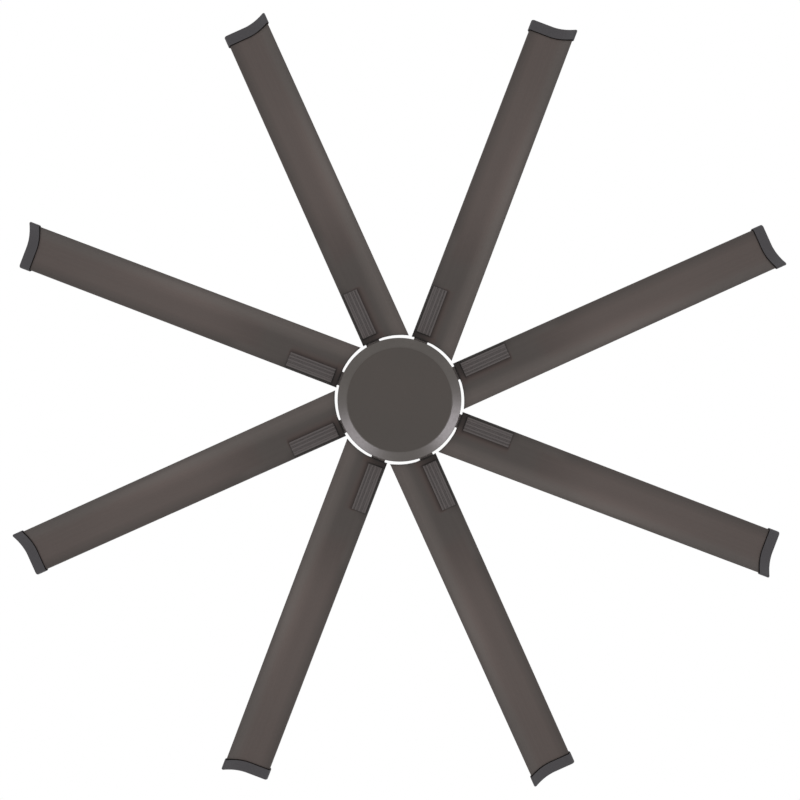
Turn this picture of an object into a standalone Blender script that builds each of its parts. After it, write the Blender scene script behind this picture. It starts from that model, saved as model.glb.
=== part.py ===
"""Ceiling fan with eight extruded blades, hung from a ball in its ceiling bracket.

Metres, +Z up. The origin is on the fan's axis, on the ceiling that the bracket is screwed to.
A blade is modelled along +X, with its trailing edge on the +Y side, and is turned into place.
"""

from math import cos, hypot, pi, radians, sin, sqrt, tan

import bmesh
import bpy
from mathutils import Matrix, Vector

# Fits
SEAT_GAP = 0.0003  # between pieces that rest on each other
BALL_GAP = 0.0004  # between the hanger ball and its seat
RUNNING_GAP = 0.0012  # between the stator and the magnets that turn round it
OVERRUN = 0.002  # how far a cutter passes its wall, and how deep a joined shape reaches
WELD = 0.000001

# Blades
BLADE_COUNT = 8
FIRST_BLADE_ANGLE = radians(20.82)
ROOT_RADIUS = 0.1705  # the roots are cut on this circle round the axis
ROOT_TUCK = 0.0012  # how much nearer to the axis the root's lowest corner is cut
TIP_REACH = 1.0632  # outer end of the tip cap, along the blade
LEAD_AT_ROOT = 0.0295  # from the blade's centre line to its leading edge
LEAD_AT_TIP = 0.0270
TRAIL_AT_ROOT = 0.0911
TRAIL_AT_TIP = 0.0884
BLADE_FLAT = 0.0264  # the underside is flat up to here, then curves down
BLADE_DROP = 0.0249  # how far the trailing edge hangs below the flat
BLADE_THICKNESS = 0.009
TAIL_THICKNESS = 0.0024
BLADE_WALL = 0.0016
NOSE_STEPS = 3
DROP_STEPS = 6
THICK_END_SHARE = 0.6  # of the curved part: beyond it the blade has its tail thickness

# Tip caps
CAP_LENGTH = 0.028
CAP_PROUD = 0.0035
CAP_END_WALL = 0.0035
CAP_EDGE_RADIUS = 0.0026
CAP_EDGE_STEPS = 1

# Ribbed clamp plates under the blades
PLATE_INSET = 0.0147  # from the blade's root to the plate
PLATE_LENGTH = 0.127
PLATE_WIDTH = 0.0377
PLATE_OFFSET = -0.0029  # of the plate's and the arm's middle from the blade's centre line
PLATE_BASE = 0.0034
RIB_HEIGHT = 0.0018
GROOVE_SPAN_SHARES = ((0.25, 0.42), (0.53, 0.68), (0.78, 0.89))  # of the plate's width, from its leading side
GROOVE_SLOPE_SHARE = 0.2  # of the groove's width, which each of its sloping sides takes
EDGE_GROOVE_SPAN_SHARES = (0.11, 0.17)
EDGE_GROOVE_DEPTH_SHARE = 0.4
STUD_RADIUS = 0.003
STUD_PLACE_SHARES = (0.14, 0.5, 0.86)  # of the plate's length

# Arms
ARM_WIDTH = 0.0376
ARM_THICKNESS = 0.006
ARM_CORNER = 0.006
ARM_RIB_WIDTH = 0.010
ARM_RIB_HEIGHT = 0.0045
BOLT_HEAD_RADIUS = 0.0055
BOLT_HEAD_HEIGHT = 0.0028
ARM_FOOT_BOLT_SHARES = (0.3, 0.75)  # of the arm's length under the rotor base

# Rotor
BELL_RADIUS = 0.096
BELL_WALL = 0.003
BELL_PLATE = 0.004
BELL_HEIGHT = 0.056
BELL_FOOT = 0.016
ARM_SEAT = 0.040  # how far the arms reach in under the rotor base
ARM_SEAT_RADIUS = 0.128
ROTOR_BASE_THICKNESS = 0.006
MAGNET_THICKNESS = 0.006
MAGNET_OVERLAP = 0.002  # how far the magnets pass the stator stack at each end

# Bearings
BEARING_RADIUS = 0.021
BEARING_WIDTH = 0.012
RACE_THICKNESS = 0.0037
RACE_SHOULDER_SHARE = 0.25  # of the bearing's width
BEARING_LIP = 0.002
BOSS_WALL = 0.0047

# Shaft and stator
SHAFT_RADIUS = 0.010
SHAFT_BORE = 0.006
STACK_HEIGHT = 0.024
TOOTH_COUNT = 12
TOOTH_SHARE = 0.515  # of the pitch between teeth, at the stator's core
TOOTH_LENGTH = 0.033  # from the stator's core to the tooth's shoe
SHOE_THICKNESS = 0.0075
SHOE_SHARE = 0.84  # of the pitch between teeth
END_TURN_HEIGHT = 0.005
COIL_CLEARANCE = 0.0024  # between a coil's leg and the teeth beside it
COIL_MARGIN = 0.004
MOTOR_HEADROOM = 0.004

# Upper housing
HOUSING_WALL = 0.002
HOUSING_INSET = 0.002  # inside the bottom cap's radius
HOUSING_ARM_GAP = 0.0087
HOUSING_SKIRT = 0.016
HOUSING_CROWN_RADIUS = 0.070

# Bottom cap and the plate that it snaps on to
RIM_GAP = 0.0097  # open ring between the bottom cap and the blade roots
CAP_ARM_GAP = 0.0063
BOTTOM_CAP_HEIGHT = 0.051
BOTTOM_CAP_WALL = 0.002
BEVEL_HEIGHT = 0.016
BEVEL_WIDTH = 0.024
BEVEL_EASE = 0.0012  # how far the bevel's edges are eased to each side
SNAP_BEAD_DEPTH = 0.0062  # from the cap's upper edge down to its inner bead
SNAP_BEAD_SIZE = 0.002
LOWER_PLATE_THICKNESS = 0.0025
NUT_RADIUS = 0.0165
NUT_HEIGHT = 0.008
SHAFT_END = 0.002  # how far the shaft passes the nut

# Yoke and its cover
YOKE_RADIUS = 0.020
YOKE_BASE = 0.012
YOKE_DEPTH = 0.037
YOKE_FLANGE_RADIUS = 0.036
YOKE_FLANGE_THICKNESS = 0.006
YOKE_PIN_RADIUS = 0.004
YOKE_PIN_SHARE = 0.42  # of the socket's depth, from its floor
SET_SCREW_RADIUS = 0.003
SET_SCREW_SHARE = 0.78
PIN_OVERHANG = 0.004
HEAD_SHARE = 1.5  # of the shank's radius
COVER_RADIUS = 0.034
COVER_WALL = 0.0015
COVER_HEADROOM = 0.008
COVER_SHOULDER = 0.014

# Downrod and hanger ball
ROD_LENGTH = 0.203
ROD_RADIUS = 0.01335
ROD_WALL = 0.0028
ROD_STUB = 0.007  # how far the rod stands out of the ball
BALL_RADIUS = 0.029
BALL_FLAT_RADIUS = 0.021
HANGER_PIN_RADIUS = 0.003
SWING = radians(12)

# Ceiling bracket
BRACKET_THICKNESS = 0.003
BRACKET_HALF_WIDTH = 0.020
BRACKET_CORNER = 0.005
BRACKET_CLEARANCE = 0.0015  # between the bracket's corners and the canopy
LEG_THICKNESS = 0.003
LEG_HALF_WIDTH = 0.013
LEG_CLEARANCE = 0.012  # between the ball and the legs
CRADLE_THICKNESS = 0.004
CRADLE_MARGIN = 0.005
SEAT_RADIUS = 0.022  # where the ball touches its seat
SEAT_WIDTH = 0.007
SEAT_ABOVE = 0.005
SEAT_BELOW = 0.002
STUB_RADIUS = 0.0025  # of the stub in the ball's slot, which stops the fan from turning
STUB_REACH = 0.004
SLOT_DEPTH = 0.006
SLOT_CLEARANCE = 0.0005
SLOT_BELOW = 0.012
LUG_HEIGHT = 0.022
LUG_HALF_WIDTH = 0.009
LUG_SCREW_DEPTH = 0.014
CEILING_SLOT_LENGTH = 0.016
CEILING_SLOT_RADIUS = 0.003
CEILING_SLOT_SHARE = 0.5  # of the way from the leg to the lug
SLOT_END_SHARE = 0.99  # of half the slot's width that its end corners round off

# Canopy
CANOPY_RADIUS = 0.088
CANOPY_WALL = 0.0015
CANOPY_MARGIN = 0.009
CANOPY_SHOULDER = 0.030
CEILING_GAP = 0.0005
TRIM_WIDTH = 0.018
TRIM_THICKNESS = 0.002
HEADROOM = 0.0015
CANOPY_SCREW_RADIUS = 0.002
CANOPY_SCREW_HEAD = 0.004
SCREW_HEAD_HEIGHT = 0.0025

# Radio receiver
RECEIVER_HEIGHT = 0.022
RECEIVER_HALF_WIDTH = 0.018
RECEIVER_CORNER = 0.003
RECEIVER_CLEARANCE = 0.001

# Facets
FINE_STEPS = 40
STEPS = 24
SMALL_STEPS = 8
HEX_STEPS = 6
CORNER_STEPS = 2
SHOULDER_STEPS = 4
BALL_STEPS = 6

# Radii that follow from the sizes above
BOTTOM_CAP_RADIUS = ROOT_RADIUS - RIM_GAP
HOUSING_RADIUS = BOTTOM_CAP_RADIUS - HOUSING_INSET
PLATE_START = ROOT_RADIUS + PLATE_INSET
PLATE_END = PLATE_START + PLATE_LENGTH
ARM_START = ARM_SEAT_RADIUS - ARM_SEAT
CAP_START = TIP_REACH - CAP_LENGTH
BLADE_END = TIP_REACH - CAP_END_WALL - SEAT_GAP
SHAFT_FIT = SHAFT_RADIUS + SEAT_GAP
BEARING_FIT = BEARING_RADIUS + SEAT_GAP
BOSS_RADIUS = BEARING_FIT + BOSS_WALL
INNER_RACE_RADIUS = SHAFT_FIT + RACE_THICKNESS
MAGNET_RADIUS = BELL_RADIUS - BELL_WALL - SEAT_GAP
STATOR_RADIUS = MAGNET_RADIUS - MAGNET_THICKNESS - RUNNING_GAP
STATOR_CORE_RADIUS = STATOR_RADIUS - SHOE_THICKNESS - TOOTH_LENGTH
TOOTH_WIDTH = 2 * STATOR_CORE_RADIUS * sin(pi / TOOTH_COUNT) * TOOTH_SHARE
COIL_INSIDE = STATOR_CORE_RADIUS + COIL_MARGIN
SOCKET_RADIUS = ROD_RADIUS + SEAT_GAP
LEG_INSIDE = BALL_RADIUS + LEG_CLEARANCE
CRADLE_RADIUS = hypot(LEG_INSIDE + LEG_THICKNESS, LEG_HALF_WIDTH) + CRADLE_MARGIN
CANOPY_INSIDE = CANOPY_RADIUS - CANOPY_WALL
BRACKET_END = sqrt((CANOPY_INSIDE - BRACKET_CLEARANCE) ** 2 - BRACKET_HALF_WIDTH**2)

# Levels, from the ceiling down
RECEIVER_TOP = -BRACKET_THICKNESS - SEAT_GAP
RECEIVER_LOW = RECEIVER_TOP - RECEIVER_HEIGHT
ROD_TOP = RECEIVER_LOW - ROD_RADIUS * sin(SWING) - HEADROOM
BALL_TOP = ROD_TOP - ROD_STUB
BALL_LEVEL = BALL_TOP - sqrt(BALL_RADIUS**2 - BALL_FLAT_RADIUS**2)
SEAT_LEVEL = BALL_LEVEL - sqrt(BALL_RADIUS**2 - SEAT_RADIUS**2)
CRADLE_LOW = SEAT_LEVEL - SEAT_BELOW - CRADLE_THICKNESS
CANOPY_LOW = CRADLE_LOW - CANOPY_MARGIN
TRIM_TOP = CANOPY_LOW - SEAT_GAP
TRIM_LOW = TRIM_TOP - TRIM_THICKNESS
THROAT_RADIUS = (BALL_LEVEL - TRIM_LOW) * tan(SWING) + ROD_RADIUS / cos(SWING) + HEADROOM
ROD_LOW = ROD_TOP - ROD_LENGTH
SOCKET_FLOOR = ROD_LOW - SEAT_GAP
YOKE_TOP = ROD_LOW + YOKE_DEPTH
YOKE_LOW = SOCKET_FLOOR - YOKE_BASE
YOKE_PIN_LEVEL = SOCKET_FLOOR + YOKE_DEPTH * YOKE_PIN_SHARE
SET_SCREW_LEVEL = SOCKET_FLOOR + YOKE_DEPTH * SET_SCREW_SHARE
FLANGE_TOP = YOKE_LOW + YOKE_FLANGE_THICKNESS
HOUSING_TOP = FLANGE_TOP + SEAT_GAP + HOUSING_WALL
COVER_LOW = HOUSING_TOP + SEAT_GAP
COVER_TOP = YOKE_TOP + COVER_HEADROOM
BELL_TOP = YOKE_LOW - MOTOR_HEADROOM
BELL_LOW = BELL_TOP - BELL_HEIGHT
UPPER_BEARING_TOP = BELL_TOP - BEARING_LIP - SEAT_GAP
UPPER_BEARING_LOW = UPPER_BEARING_TOP - BEARING_WIDTH
ROTOR_BASE_TOP = BELL_LOW - SEAT_GAP
ROTOR_BASE_LOW = ROTOR_BASE_TOP - ROTOR_BASE_THICKNESS
LOWER_BEARING_LOW = ROTOR_BASE_TOP - BEARING_WIDTH
STACK_LEVEL = (ROTOR_BASE_TOP + UPPER_BEARING_LOW) / 2
STACK_TOP = STACK_LEVEL + STACK_HEIGHT / 2
STACK_LOW = STACK_LEVEL - STACK_HEIGHT / 2
ARM_TOP = ROTOR_BASE_LOW - SEAT_GAP
ARM_LOW = ARM_TOP - ARM_THICKNESS
BLADE_LEVEL = ARM_LOW - SEAT_GAP - BLADE_THICKNESS
HOUSING_LOW = ARM_TOP + HOUSING_ARM_GAP
BOTTOM_CAP_TOP = ARM_LOW - CAP_ARM_GAP
BOTTOM_CAP_LOW = BOTTOM_CAP_TOP - BOTTOM_CAP_HEIGHT
BEAD_LOW = BOTTOM_CAP_TOP - SNAP_BEAD_DEPTH - SNAP_BEAD_SIZE
LOWER_PLATE_TOP = BEAD_LOW - SEAT_GAP
LOWER_PLATE_LOW = LOWER_PLATE_TOP - LOWER_PLATE_THICKNESS
NUT_LOW = LOWER_PLATE_LOW - SEAT_GAP - NUT_HEIGHT
SHAFT_LOW = NUT_LOW - SHAFT_END
SHAFT_TOP = SOCKET_FLOOR - SEAT_GAP


def clear_scene():
    for item in list(bpy.data.objects):
        bpy.data.objects.remove(item, do_unlink=True)


def paint(name, colour, roughness, metallic):
    material = bpy.data.materials.new(name)
    material.use_nodes = True
    shader = material.node_tree.nodes["Principled BSDF"]
    shader.inputs["Base Color"].default_value = (*colour, 1.0)
    shader.inputs["Roughness"].default_value = roughness
    shader.inputs["Metallic"].default_value = metallic
    material.diffuse_color = (*colour, 1.0)
    return material


def finished(bm, name):
    """Mesh from a bmesh, with every face pointing out."""
    bmesh.ops.recalc_face_normals(bm, faces=bm.faces)
    mesh = bpy.data.meshes.new(name)
    bm.to_mesh(mesh)
    bm.free()
    return mesh


def pivot(name, level, carrier=None):
    """Empty on a joint's axis, which the pieces of its body hang from."""
    empty = bpy.data.objects.new(name, None)
    bpy.context.scene.collection.objects.link(empty)
    hang(empty, carrier)
    empty.matrix_world = Matrix.Translation((0, 0, level))
    bpy.context.view_layer.update()
    return empty


def hang(item, carrier):
    if carrier:
        item.parent = carrier
        item.matrix_parent_inverse = carrier.matrix_world.inverted()


def place(name, mesh, material, carrier=None, angle=0.0):
    """One piece of the fan, from a mesh modelled in the fan's own frame."""
    piece = bpy.data.objects.new(name, mesh)
    bpy.context.scene.collection.objects.link(piece)
    hang(piece, carrier)
    piece.rotation_euler.z = angle
    if not mesh.materials:
        mesh.materials.append(material)
        mesh.shade_smooth()
        mesh.set_sharp_from_angle(angle=radians(30))
    return piece


def turned(name, profile, steps=STEPS):
    """Mesh turned round Z from (radius, height) points, closed unless both ends are on the axis."""
    bm = bmesh.new()
    points = [bm.verts.new((radius, 0, height)) for radius, height in profile]
    pairs = list(zip(points, points[1:]))
    if profile[0][0] or profile[-1][0]:
        pairs.append((points[-1], points[0]))
    edges = [bm.edges.new(pair) for pair in pairs]
    bmesh.ops.spin(bm, geom=points + edges, axis=(0, 0, 1), cent=(0, 0, 0), angle=2 * pi, steps=steps)
    bmesh.ops.remove_doubles(bm, verts=bm.verts, dist=WELD)
    return finished(bm, name)


def prism(name, outline, low, high):
    """Mesh of a flat (x, y) outline raised from one height to another."""
    bm = bmesh.new()
    floor = bm.faces.new([bm.verts.new((x, y, low)) for x, y in outline])
    raised = bmesh.ops.extrude_face_region(bm, geom=[floor])["geom"]
    tops = [item for item in raised if isinstance(item, bmesh.types.BMVert)]
    bmesh.ops.translate(bm, vec=(0, 0, high - low), verts=tops)
    return finished(bm, name)


def block(name, low, high):
    """Box between two corners."""
    outline = [(low[0], low[1]), (high[0], low[1]), (high[0], high[1]), (low[0], high[1])]
    return prism(name, outline, low[2], high[2])


def circle(radius, centre=(0.0, 0.0), steps=SMALL_STEPS):
    turns = [2 * pi * step / steps for step in range(steps)]
    return [(centre[0] + radius * cos(turn), centre[1] + radius * sin(turn)) for turn in turns]


def arc(centre, radii, start, end, steps):
    """Points on a circle or an ellipse, from one angle to another."""
    turns = [start + (end - start) * step / steps for step in range(steps + 1)]
    return [(centre[0] + radii[0] * cos(turn), centre[1] + radii[1] * sin(turn)) for turn in turns]


def rounded_rectangle(low, high, radius):
    """Outline of a rectangle with round corners, counterclockwise from its lower right one."""
    corners = [(high[0], low[1]), (high[0], high[1]), (low[0], high[1]), (low[0], low[1])]
    inward = [(-1, 1), (-1, -1), (1, -1), (1, 1)]
    outline = []
    for index, ((x, y), (right, up)) in enumerate(zip(corners, inward)):
        centre = (x + right * radius, y + up * radius)
        start = (index - 1) * pi / 2
        outline += arc(centre, (radius, radius), start, start + pi / 2, CORNER_STEPS)
    return outline


def along_x(mesh):
    """Turns a mesh so that its x, y and z run along y, z and x."""
    mesh.transform(Matrix(((0, 0, 1, 0), (1, 0, 0, 0), (0, 1, 0, 0), (0, 0, 0, 1))))
    return mesh


def along_y(mesh):
    """Turns a mesh so that its x, y and z run along z, x and y."""
    mesh.transform(Matrix(((0, 1, 0, 0), (0, 0, 1, 0), (1, 0, 0, 0), (0, 0, 0, 1))))
    return mesh


def together(name, meshes):
    """One mesh that holds several, as they lie."""
    bm = bmesh.new()
    for mesh in meshes:
        bm.from_mesh(mesh)
    return finished(bm, name)


def combined(mesh, operation, tool):
    """Mesh after a Boolean with another, as the modifier makes it."""
    host = bpy.data.objects.new(mesh.name, mesh)
    other = bpy.data.objects.new(tool.name, tool)
    for item in (host, other):
        bpy.context.scene.collection.objects.link(item)
    modifier = host.modifiers.new(operation, "BOOLEAN")
    modifier.operation = operation
    modifier.object = other
    graph = bpy.context.evaluated_depsgraph_get()
    result = bpy.data.meshes.new_from_object(host.evaluated_get(graph))
    result.name = mesh.name
    for item in (host, other):
        bpy.data.objects.remove(item)
    return result


def joined(mesh, tool):
    return combined(mesh, "UNION", tool)


def cut(mesh, tool):
    return combined(mesh, "DIFFERENCE", tool)


# The blade and its tip cap


def blade_rows(lead, trail):
    """The section as (y, low z, high z) rows from nose to tail. The first and the last are single points."""
    nose = BLADE_THICKNESS / 2
    tail = TAIL_THICKNESS / 2
    rows = []
    for step in range(NOSE_STEPS + 1):
        turn = pi / 2 * step / NOSE_STEPS
        rows.append((-lead + nose - nose * cos(turn), nose - nose * sin(turn), nose + nose * sin(turn)))
    run = trail - tail - BLADE_FLAT
    for step in range(DROP_STEPS + 1):
        share = step / DROP_STEPS
        low = -BLADE_DROP * share**2
        fade = min(share / THICK_END_SHARE, 1.0)
        extra = (BLADE_THICKNESS - TAIL_THICKNESS) * (1 - fade**2 * (3 - 2 * fade))
        rows.append((BLADE_FLAT + run * share, low, low + TAIL_THICKNESS + extra))
    middle = tail - BLADE_DROP
    slope = 2 * BLADE_DROP / run
    for turn in (pi / 4, pi / 2):
        out = tail * sin(turn)
        level = middle - slope * out
        rows.append((trail - tail + out, level - tail * cos(turn), level + tail * cos(turn)))
    rows[-1] = (trail, middle - slope * tail, middle - slope * tail)
    return rows


def edges_at(reach):
    """Distances of the leading and trailing edges from the centre line, at a distance along the blade."""
    share = (reach - ROOT_RADIUS) / (TIP_REACH - ROOT_RADIUS)
    lead = LEAD_AT_ROOT + (LEAD_AT_TIP - LEAD_AT_ROOT) * share
    trail = TRAIL_AT_ROOT + (TRAIL_AT_TIP - TRAIL_AT_ROOT) * share
    return lead, trail


def loop_of(rows):
    """The section's closed outline: along the underside to the tail and back over the top."""
    under = [Vector((y, low)) for y, low, high in rows]
    over = [Vector((y, high)) for y, low, high in rows[-2:0:-1]]
    return under + over


def grown(loop, distance):
    """A closed outline moved outwards by a distance."""
    moved = []
    for before, here, after in zip(loop[-1:] + loop[:-1], loop, loop[1:] + loop[:1]):
        first = (here - before).normalized()
        second = (after - here).normalized()
        outward = Vector((first.y + second.y, -first.x - second.x)).normalized()
        spread = outward.dot(Vector((first.y, -first.x)))
        moved.append(here + outward * (distance / spread))
    return moved


def bridge(bm, one, other):
    """Quads between two closed rings of as many points."""
    for index, start in enumerate(one):
        following = (index + 1) % len(one)
        bm.faces.new((start, one[following], other[following], other[index]))


def root_at(point):
    """Where a point of the section is cut off at the root, along the blade."""
    radius = ROOT_RADIUS - ROOT_TUCK * max(-point.y / BLADE_DROP, 0.0)
    return sqrt(radius**2 - point.x**2)


def blade_mesh():
    """Hollow extrusion with its root on a circle round the axis and three stud holes."""
    bm = bmesh.new()
    rings = []
    for reach, at_root in ((ROOT_RADIUS, True), (BLADE_END, False)):
        loop = loop_of(blade_rows(*edges_at(reach)))
        ends = [root_at(point) if at_root else reach for point in loop]
        rings.append([bm.verts.new((x, p.x, BLADE_LEVEL + p.y)) for x, p in zip(ends, loop)])
    bridge(bm, *rings)
    for ring in rings:
        count = len(ring)
        for index in range(1, count // 2):
            corners = (ring[index], ring[index + 1], ring[-index - 1], ring[-index])
            bm.faces.new(list(dict.fromkeys(corners)))
        bm.faces.new((ring[0], ring[1], ring[-1]))
    blade = finished(bm, "blade")
    start = -min(LEAD_AT_ROOT, LEAD_AT_TIP) + BLADE_THICKNESS / 2
    low = BLADE_LEVEL + BLADE_WALL
    high = BLADE_LEVEL + BLADE_THICKNESS - BLADE_WALL
    hollow = block("hollow", (0, start, low), (BLADE_END + OVERRUN, BLADE_FLAT, high))
    return cut(cut(blade, hollow), stud_meshes(STUD_RADIUS + SEAT_GAP, -OVERRUN, BLADE_THICKNESS + OVERRUN))


def stud_meshes(radius, low, high, steps=SMALL_STEPS):
    """Upright cylinders at the studs, between two heights above the blade's underside."""
    studs = []
    for share in STUD_PLACE_SHARES:
        centre = (PLATE_START + PLATE_LENGTH * share, PLATE_OFFSET)
        studs.append(prism("stud", circle(radius, centre, steps), BLADE_LEVEL + low, BLADE_LEVEL + high))
    return together("studs", studs)


def tip_cap_mesh():
    """Moulded sleeve over the blade's end, with a rounded outer edge."""
    section = loop_of(blade_rows(*edges_at(CAP_START)))
    stages = [(CAP_START, CAP_PROUD)]
    for step in range(CAP_EDGE_STEPS + 1):
        turn = pi / 2 * step / CAP_EDGE_STEPS
        reach = TIP_REACH - CAP_EDGE_RADIUS + CAP_EDGE_RADIUS * sin(turn)
        stages.append((reach, CAP_PROUD - CAP_EDGE_RADIUS * (1 - cos(turn))))
    stages = [(TIP_REACH - CAP_END_WALL, SEAT_GAP), (CAP_START, SEAT_GAP)] + stages
    bm = bmesh.new()
    rings = []
    for reach, distance in stages:
        loop = grown(section, distance)
        rings.append([bm.verts.new((reach, p.x, BLADE_LEVEL + p.y)) for p in loop])
    for one, other in zip(rings, rings[1:]):
        bridge(bm, one, other)
    bm.faces.new(rings[0])
    bm.faces.new(rings[-1])
    return finished(bm, "tip_cap")


# The clamp plate under the blade and the arm over it


def clamp_plate_mesh():
    """Plate with lengthwise grooves below and three studs above."""
    first = PLATE_OFFSET - PLATE_WIDTH / 2
    top = BLADE_LEVEL - SEAT_GAP
    crest = top - PLATE_BASE - RIB_HEIGHT
    grooves = [(*EDGE_GROOVE_SPAN_SHARES, RIB_HEIGHT * EDGE_GROOVE_DEPTH_SHARE)]
    grooves += [(*span, RIB_HEIGHT) for span in GROOVE_SPAN_SHARES]
    outline = [(first, top), (first, crest)]
    for start, end, depth in grooves:
        near = first + PLATE_WIDTH * start
        far = first + PLATE_WIDTH * end
        slope = (far - near) * GROOVE_SLOPE_SHARE
        outline += [(near, crest), (near + slope, crest + depth), (far - slope, crest + depth), (far, crest)]
    outline += [(first + PLATE_WIDTH, crest), (first + PLATE_WIDTH, top)]
    plate = along_x(prism("clamp_plate", outline, PLATE_START, PLATE_END))
    reach = -SEAT_GAP - PLATE_BASE / 2
    return joined(plate, stud_meshes(STUD_RADIUS, reach, BLADE_THICKNESS))


def arm_mesh():
    """Flat bar with a stiffening rib and bolt heads, over the blade and under the rotor base."""
    low = (ARM_START, PLATE_OFFSET - ARM_WIDTH / 2)
    high = (PLATE_END, PLATE_OFFSET + ARM_WIDTH / 2)
    arm = prism("blade_arm", rounded_rectangle(low, high, ARM_CORNER), ARM_LOW, ARM_TOP)
    rib_start = ARM_SEAT_RADIUS + ARM_CORNER
    rib_end = PLATE_END - ARM_CORNER
    rib = block(
        "rib",
        (rib_start, PLATE_OFFSET - ARM_RIB_WIDTH / 2, ARM_TOP - ARM_THICKNESS / 2),
        (rib_end, PLATE_OFFSET + ARM_RIB_WIDTH / 2, ARM_TOP + ARM_RIB_HEIGHT),
    )
    above = BLADE_THICKNESS + SEAT_GAP + ARM_THICKNESS / 2
    head_top = BLADE_THICKNESS + SEAT_GAP + ARM_THICKNESS + ARM_RIB_HEIGHT + BOLT_HEAD_HEIGHT
    feet = []
    for share in ARM_FOOT_BOLT_SHARES:
        centre = (ARM_START + ARM_SEAT * share, PLATE_OFFSET)
        outline = circle(BOLT_HEAD_RADIUS, centre, HEX_STEPS)
        feet.append(prism("foot", outline, ARM_LOW - BOLT_HEAD_HEIGHT, ARM_TOP - OVERRUN))
    arm = joined(arm, rib)
    arm = joined(arm, stud_meshes(BOLT_HEAD_RADIUS, above, head_top, HEX_STEPS))
    return joined(arm, together("feet", feet))


def add_blades(rotor, paints):
    """Eight sets of arm, blade, clamp plate and tip cap, each piece an object of its own."""
    kinds = (
        ("blade", blade_mesh(), "blade_paint"),
        ("tip_cap", tip_cap_mesh(), "cap_plastic"),
        ("clamp_plate", clamp_plate_mesh(), "plate_paint"),
        ("blade_arm", arm_mesh(), "arm_paint"),
    )
    for number in range(BLADE_COUNT):
        angle = FIRST_BLADE_ANGLE + 2 * pi * number / BLADE_COUNT
        for name, mesh, finish in kinds:
            place(f"{name}_{number + 1}", mesh, paints[finish], rotor, angle)


# The rotor


def rotor_base_mesh():
    boss_low = LOWER_BEARING_LOW - SEAT_GAP - BEARING_LIP
    lip_top = LOWER_BEARING_LOW - SEAT_GAP
    lip = BEARING_FIT - BEARING_LIP
    profile = [
        (BEARING_FIT, ROTOR_BASE_TOP),
        (ARM_SEAT_RADIUS, ROTOR_BASE_TOP),
        (ARM_SEAT_RADIUS, ROTOR_BASE_LOW),
        (BOSS_RADIUS, ROTOR_BASE_LOW),
        (BOSS_RADIUS, boss_low),
        (lip, boss_low),
        (lip, lip_top),
        (BEARING_FIT, lip_top),
    ]
    return turned("rotor_base", profile)


def rotor_bell_mesh():
    boss_low = UPPER_BEARING_LOW
    lip_low = UPPER_BEARING_TOP + SEAT_GAP
    lip = BEARING_FIT - BEARING_LIP
    plate_low = BELL_TOP - BELL_PLATE
    inside = BELL_RADIUS - BELL_WALL
    profile = [
        (lip, BELL_TOP),
        (BELL_RADIUS - BELL_PLATE, BELL_TOP),
        (BELL_RADIUS, plate_low),
        (BELL_RADIUS, BELL_LOW + BELL_PLATE),
        (BELL_RADIUS + BELL_FOOT, BELL_LOW + BELL_PLATE),
        (BELL_RADIUS + BELL_FOOT, BELL_LOW),
        (inside, BELL_LOW),
        (inside, plate_low),
        (BOSS_RADIUS, plate_low),
        (BOSS_RADIUS, boss_low),
        (BEARING_FIT, boss_low),
        (BEARING_FIT, lip_low),
        (lip, lip_low),
    ]
    return turned("rotor_bell", profile)


def ring_mesh(name, inner, outer, low, high, steps=STEPS):
    return turned(name, [(inner, high), (outer, high), (outer, low), (inner, low)], steps)


def inner_race_mesh(low):
    """Inner race with the ring of balls that it carries."""
    high = low + BEARING_WIDTH
    balls = BEARING_RADIUS - RACE_THICKNESS - SEAT_GAP
    shoulder = BEARING_WIDTH * RACE_SHOULDER_SHARE
    profile = [
        (SHAFT_FIT, high),
        (INNER_RACE_RADIUS, high),
        (INNER_RACE_RADIUS, high - shoulder),
        (balls, (low + high) / 2),
        (INNER_RACE_RADIUS, low + shoulder),
        (INNER_RACE_RADIUS, low),
        (SHAFT_FIT, low),
    ]
    return turned("inner_race", profile)


def add_rotor(rotor, paints):
    place("rotor_base", rotor_base_mesh(), paints["motor_metal"], rotor)
    place("rotor_bell", rotor_bell_mesh(), paints["motor_metal"], rotor)
    magnets = ring_mesh(
        "magnet_ring",
        MAGNET_RADIUS - MAGNET_THICKNESS,
        MAGNET_RADIUS,
        STACK_LOW - MAGNET_OVERLAP,
        STACK_TOP + MAGNET_OVERLAP,
    )
    place("magnet_ring", magnets, paints["magnet"], rotor)
    outer = BEARING_RADIUS - RACE_THICKNESS
    for name, low in (("upper", UPPER_BEARING_LOW), ("lower", LOWER_BEARING_LOW)):
        race = ring_mesh("outer_race", outer, BEARING_RADIUS, low, low + BEARING_WIDTH)
        place(f"{name}_bearing_outer_race", race, paints["bearing_steel"], rotor)


# The motor's fixed middle


def tooth_points(turn):
    """Outline of one stator tooth with its shoe, from one slot's floor to the next."""
    half = TOOTH_WIDTH / 2
    shoe = pi / TOOTH_COUNT * SHOE_SHARE
    shoe_inside = STATOR_RADIUS - SHOE_THICKNESS
    foot = sqrt(STATOR_CORE_RADIUS**2 - half**2)
    neck = sqrt(shoe_inside**2 - half**2)
    across = [(foot, -half), (neck, -half)]
    across.append((shoe_inside * cos(shoe), -shoe_inside * sin(shoe)))
    across += arc((0, 0), (STATOR_RADIUS, STATOR_RADIUS), -shoe, shoe, CORNER_STEPS)
    across.append((shoe_inside * cos(shoe), shoe_inside * sin(shoe)))
    across += [(neck, half), (foot, half)]
    return [(x * cos(turn) - y * sin(turn), x * sin(turn) + y * cos(turn)) for x, y in across]


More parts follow.
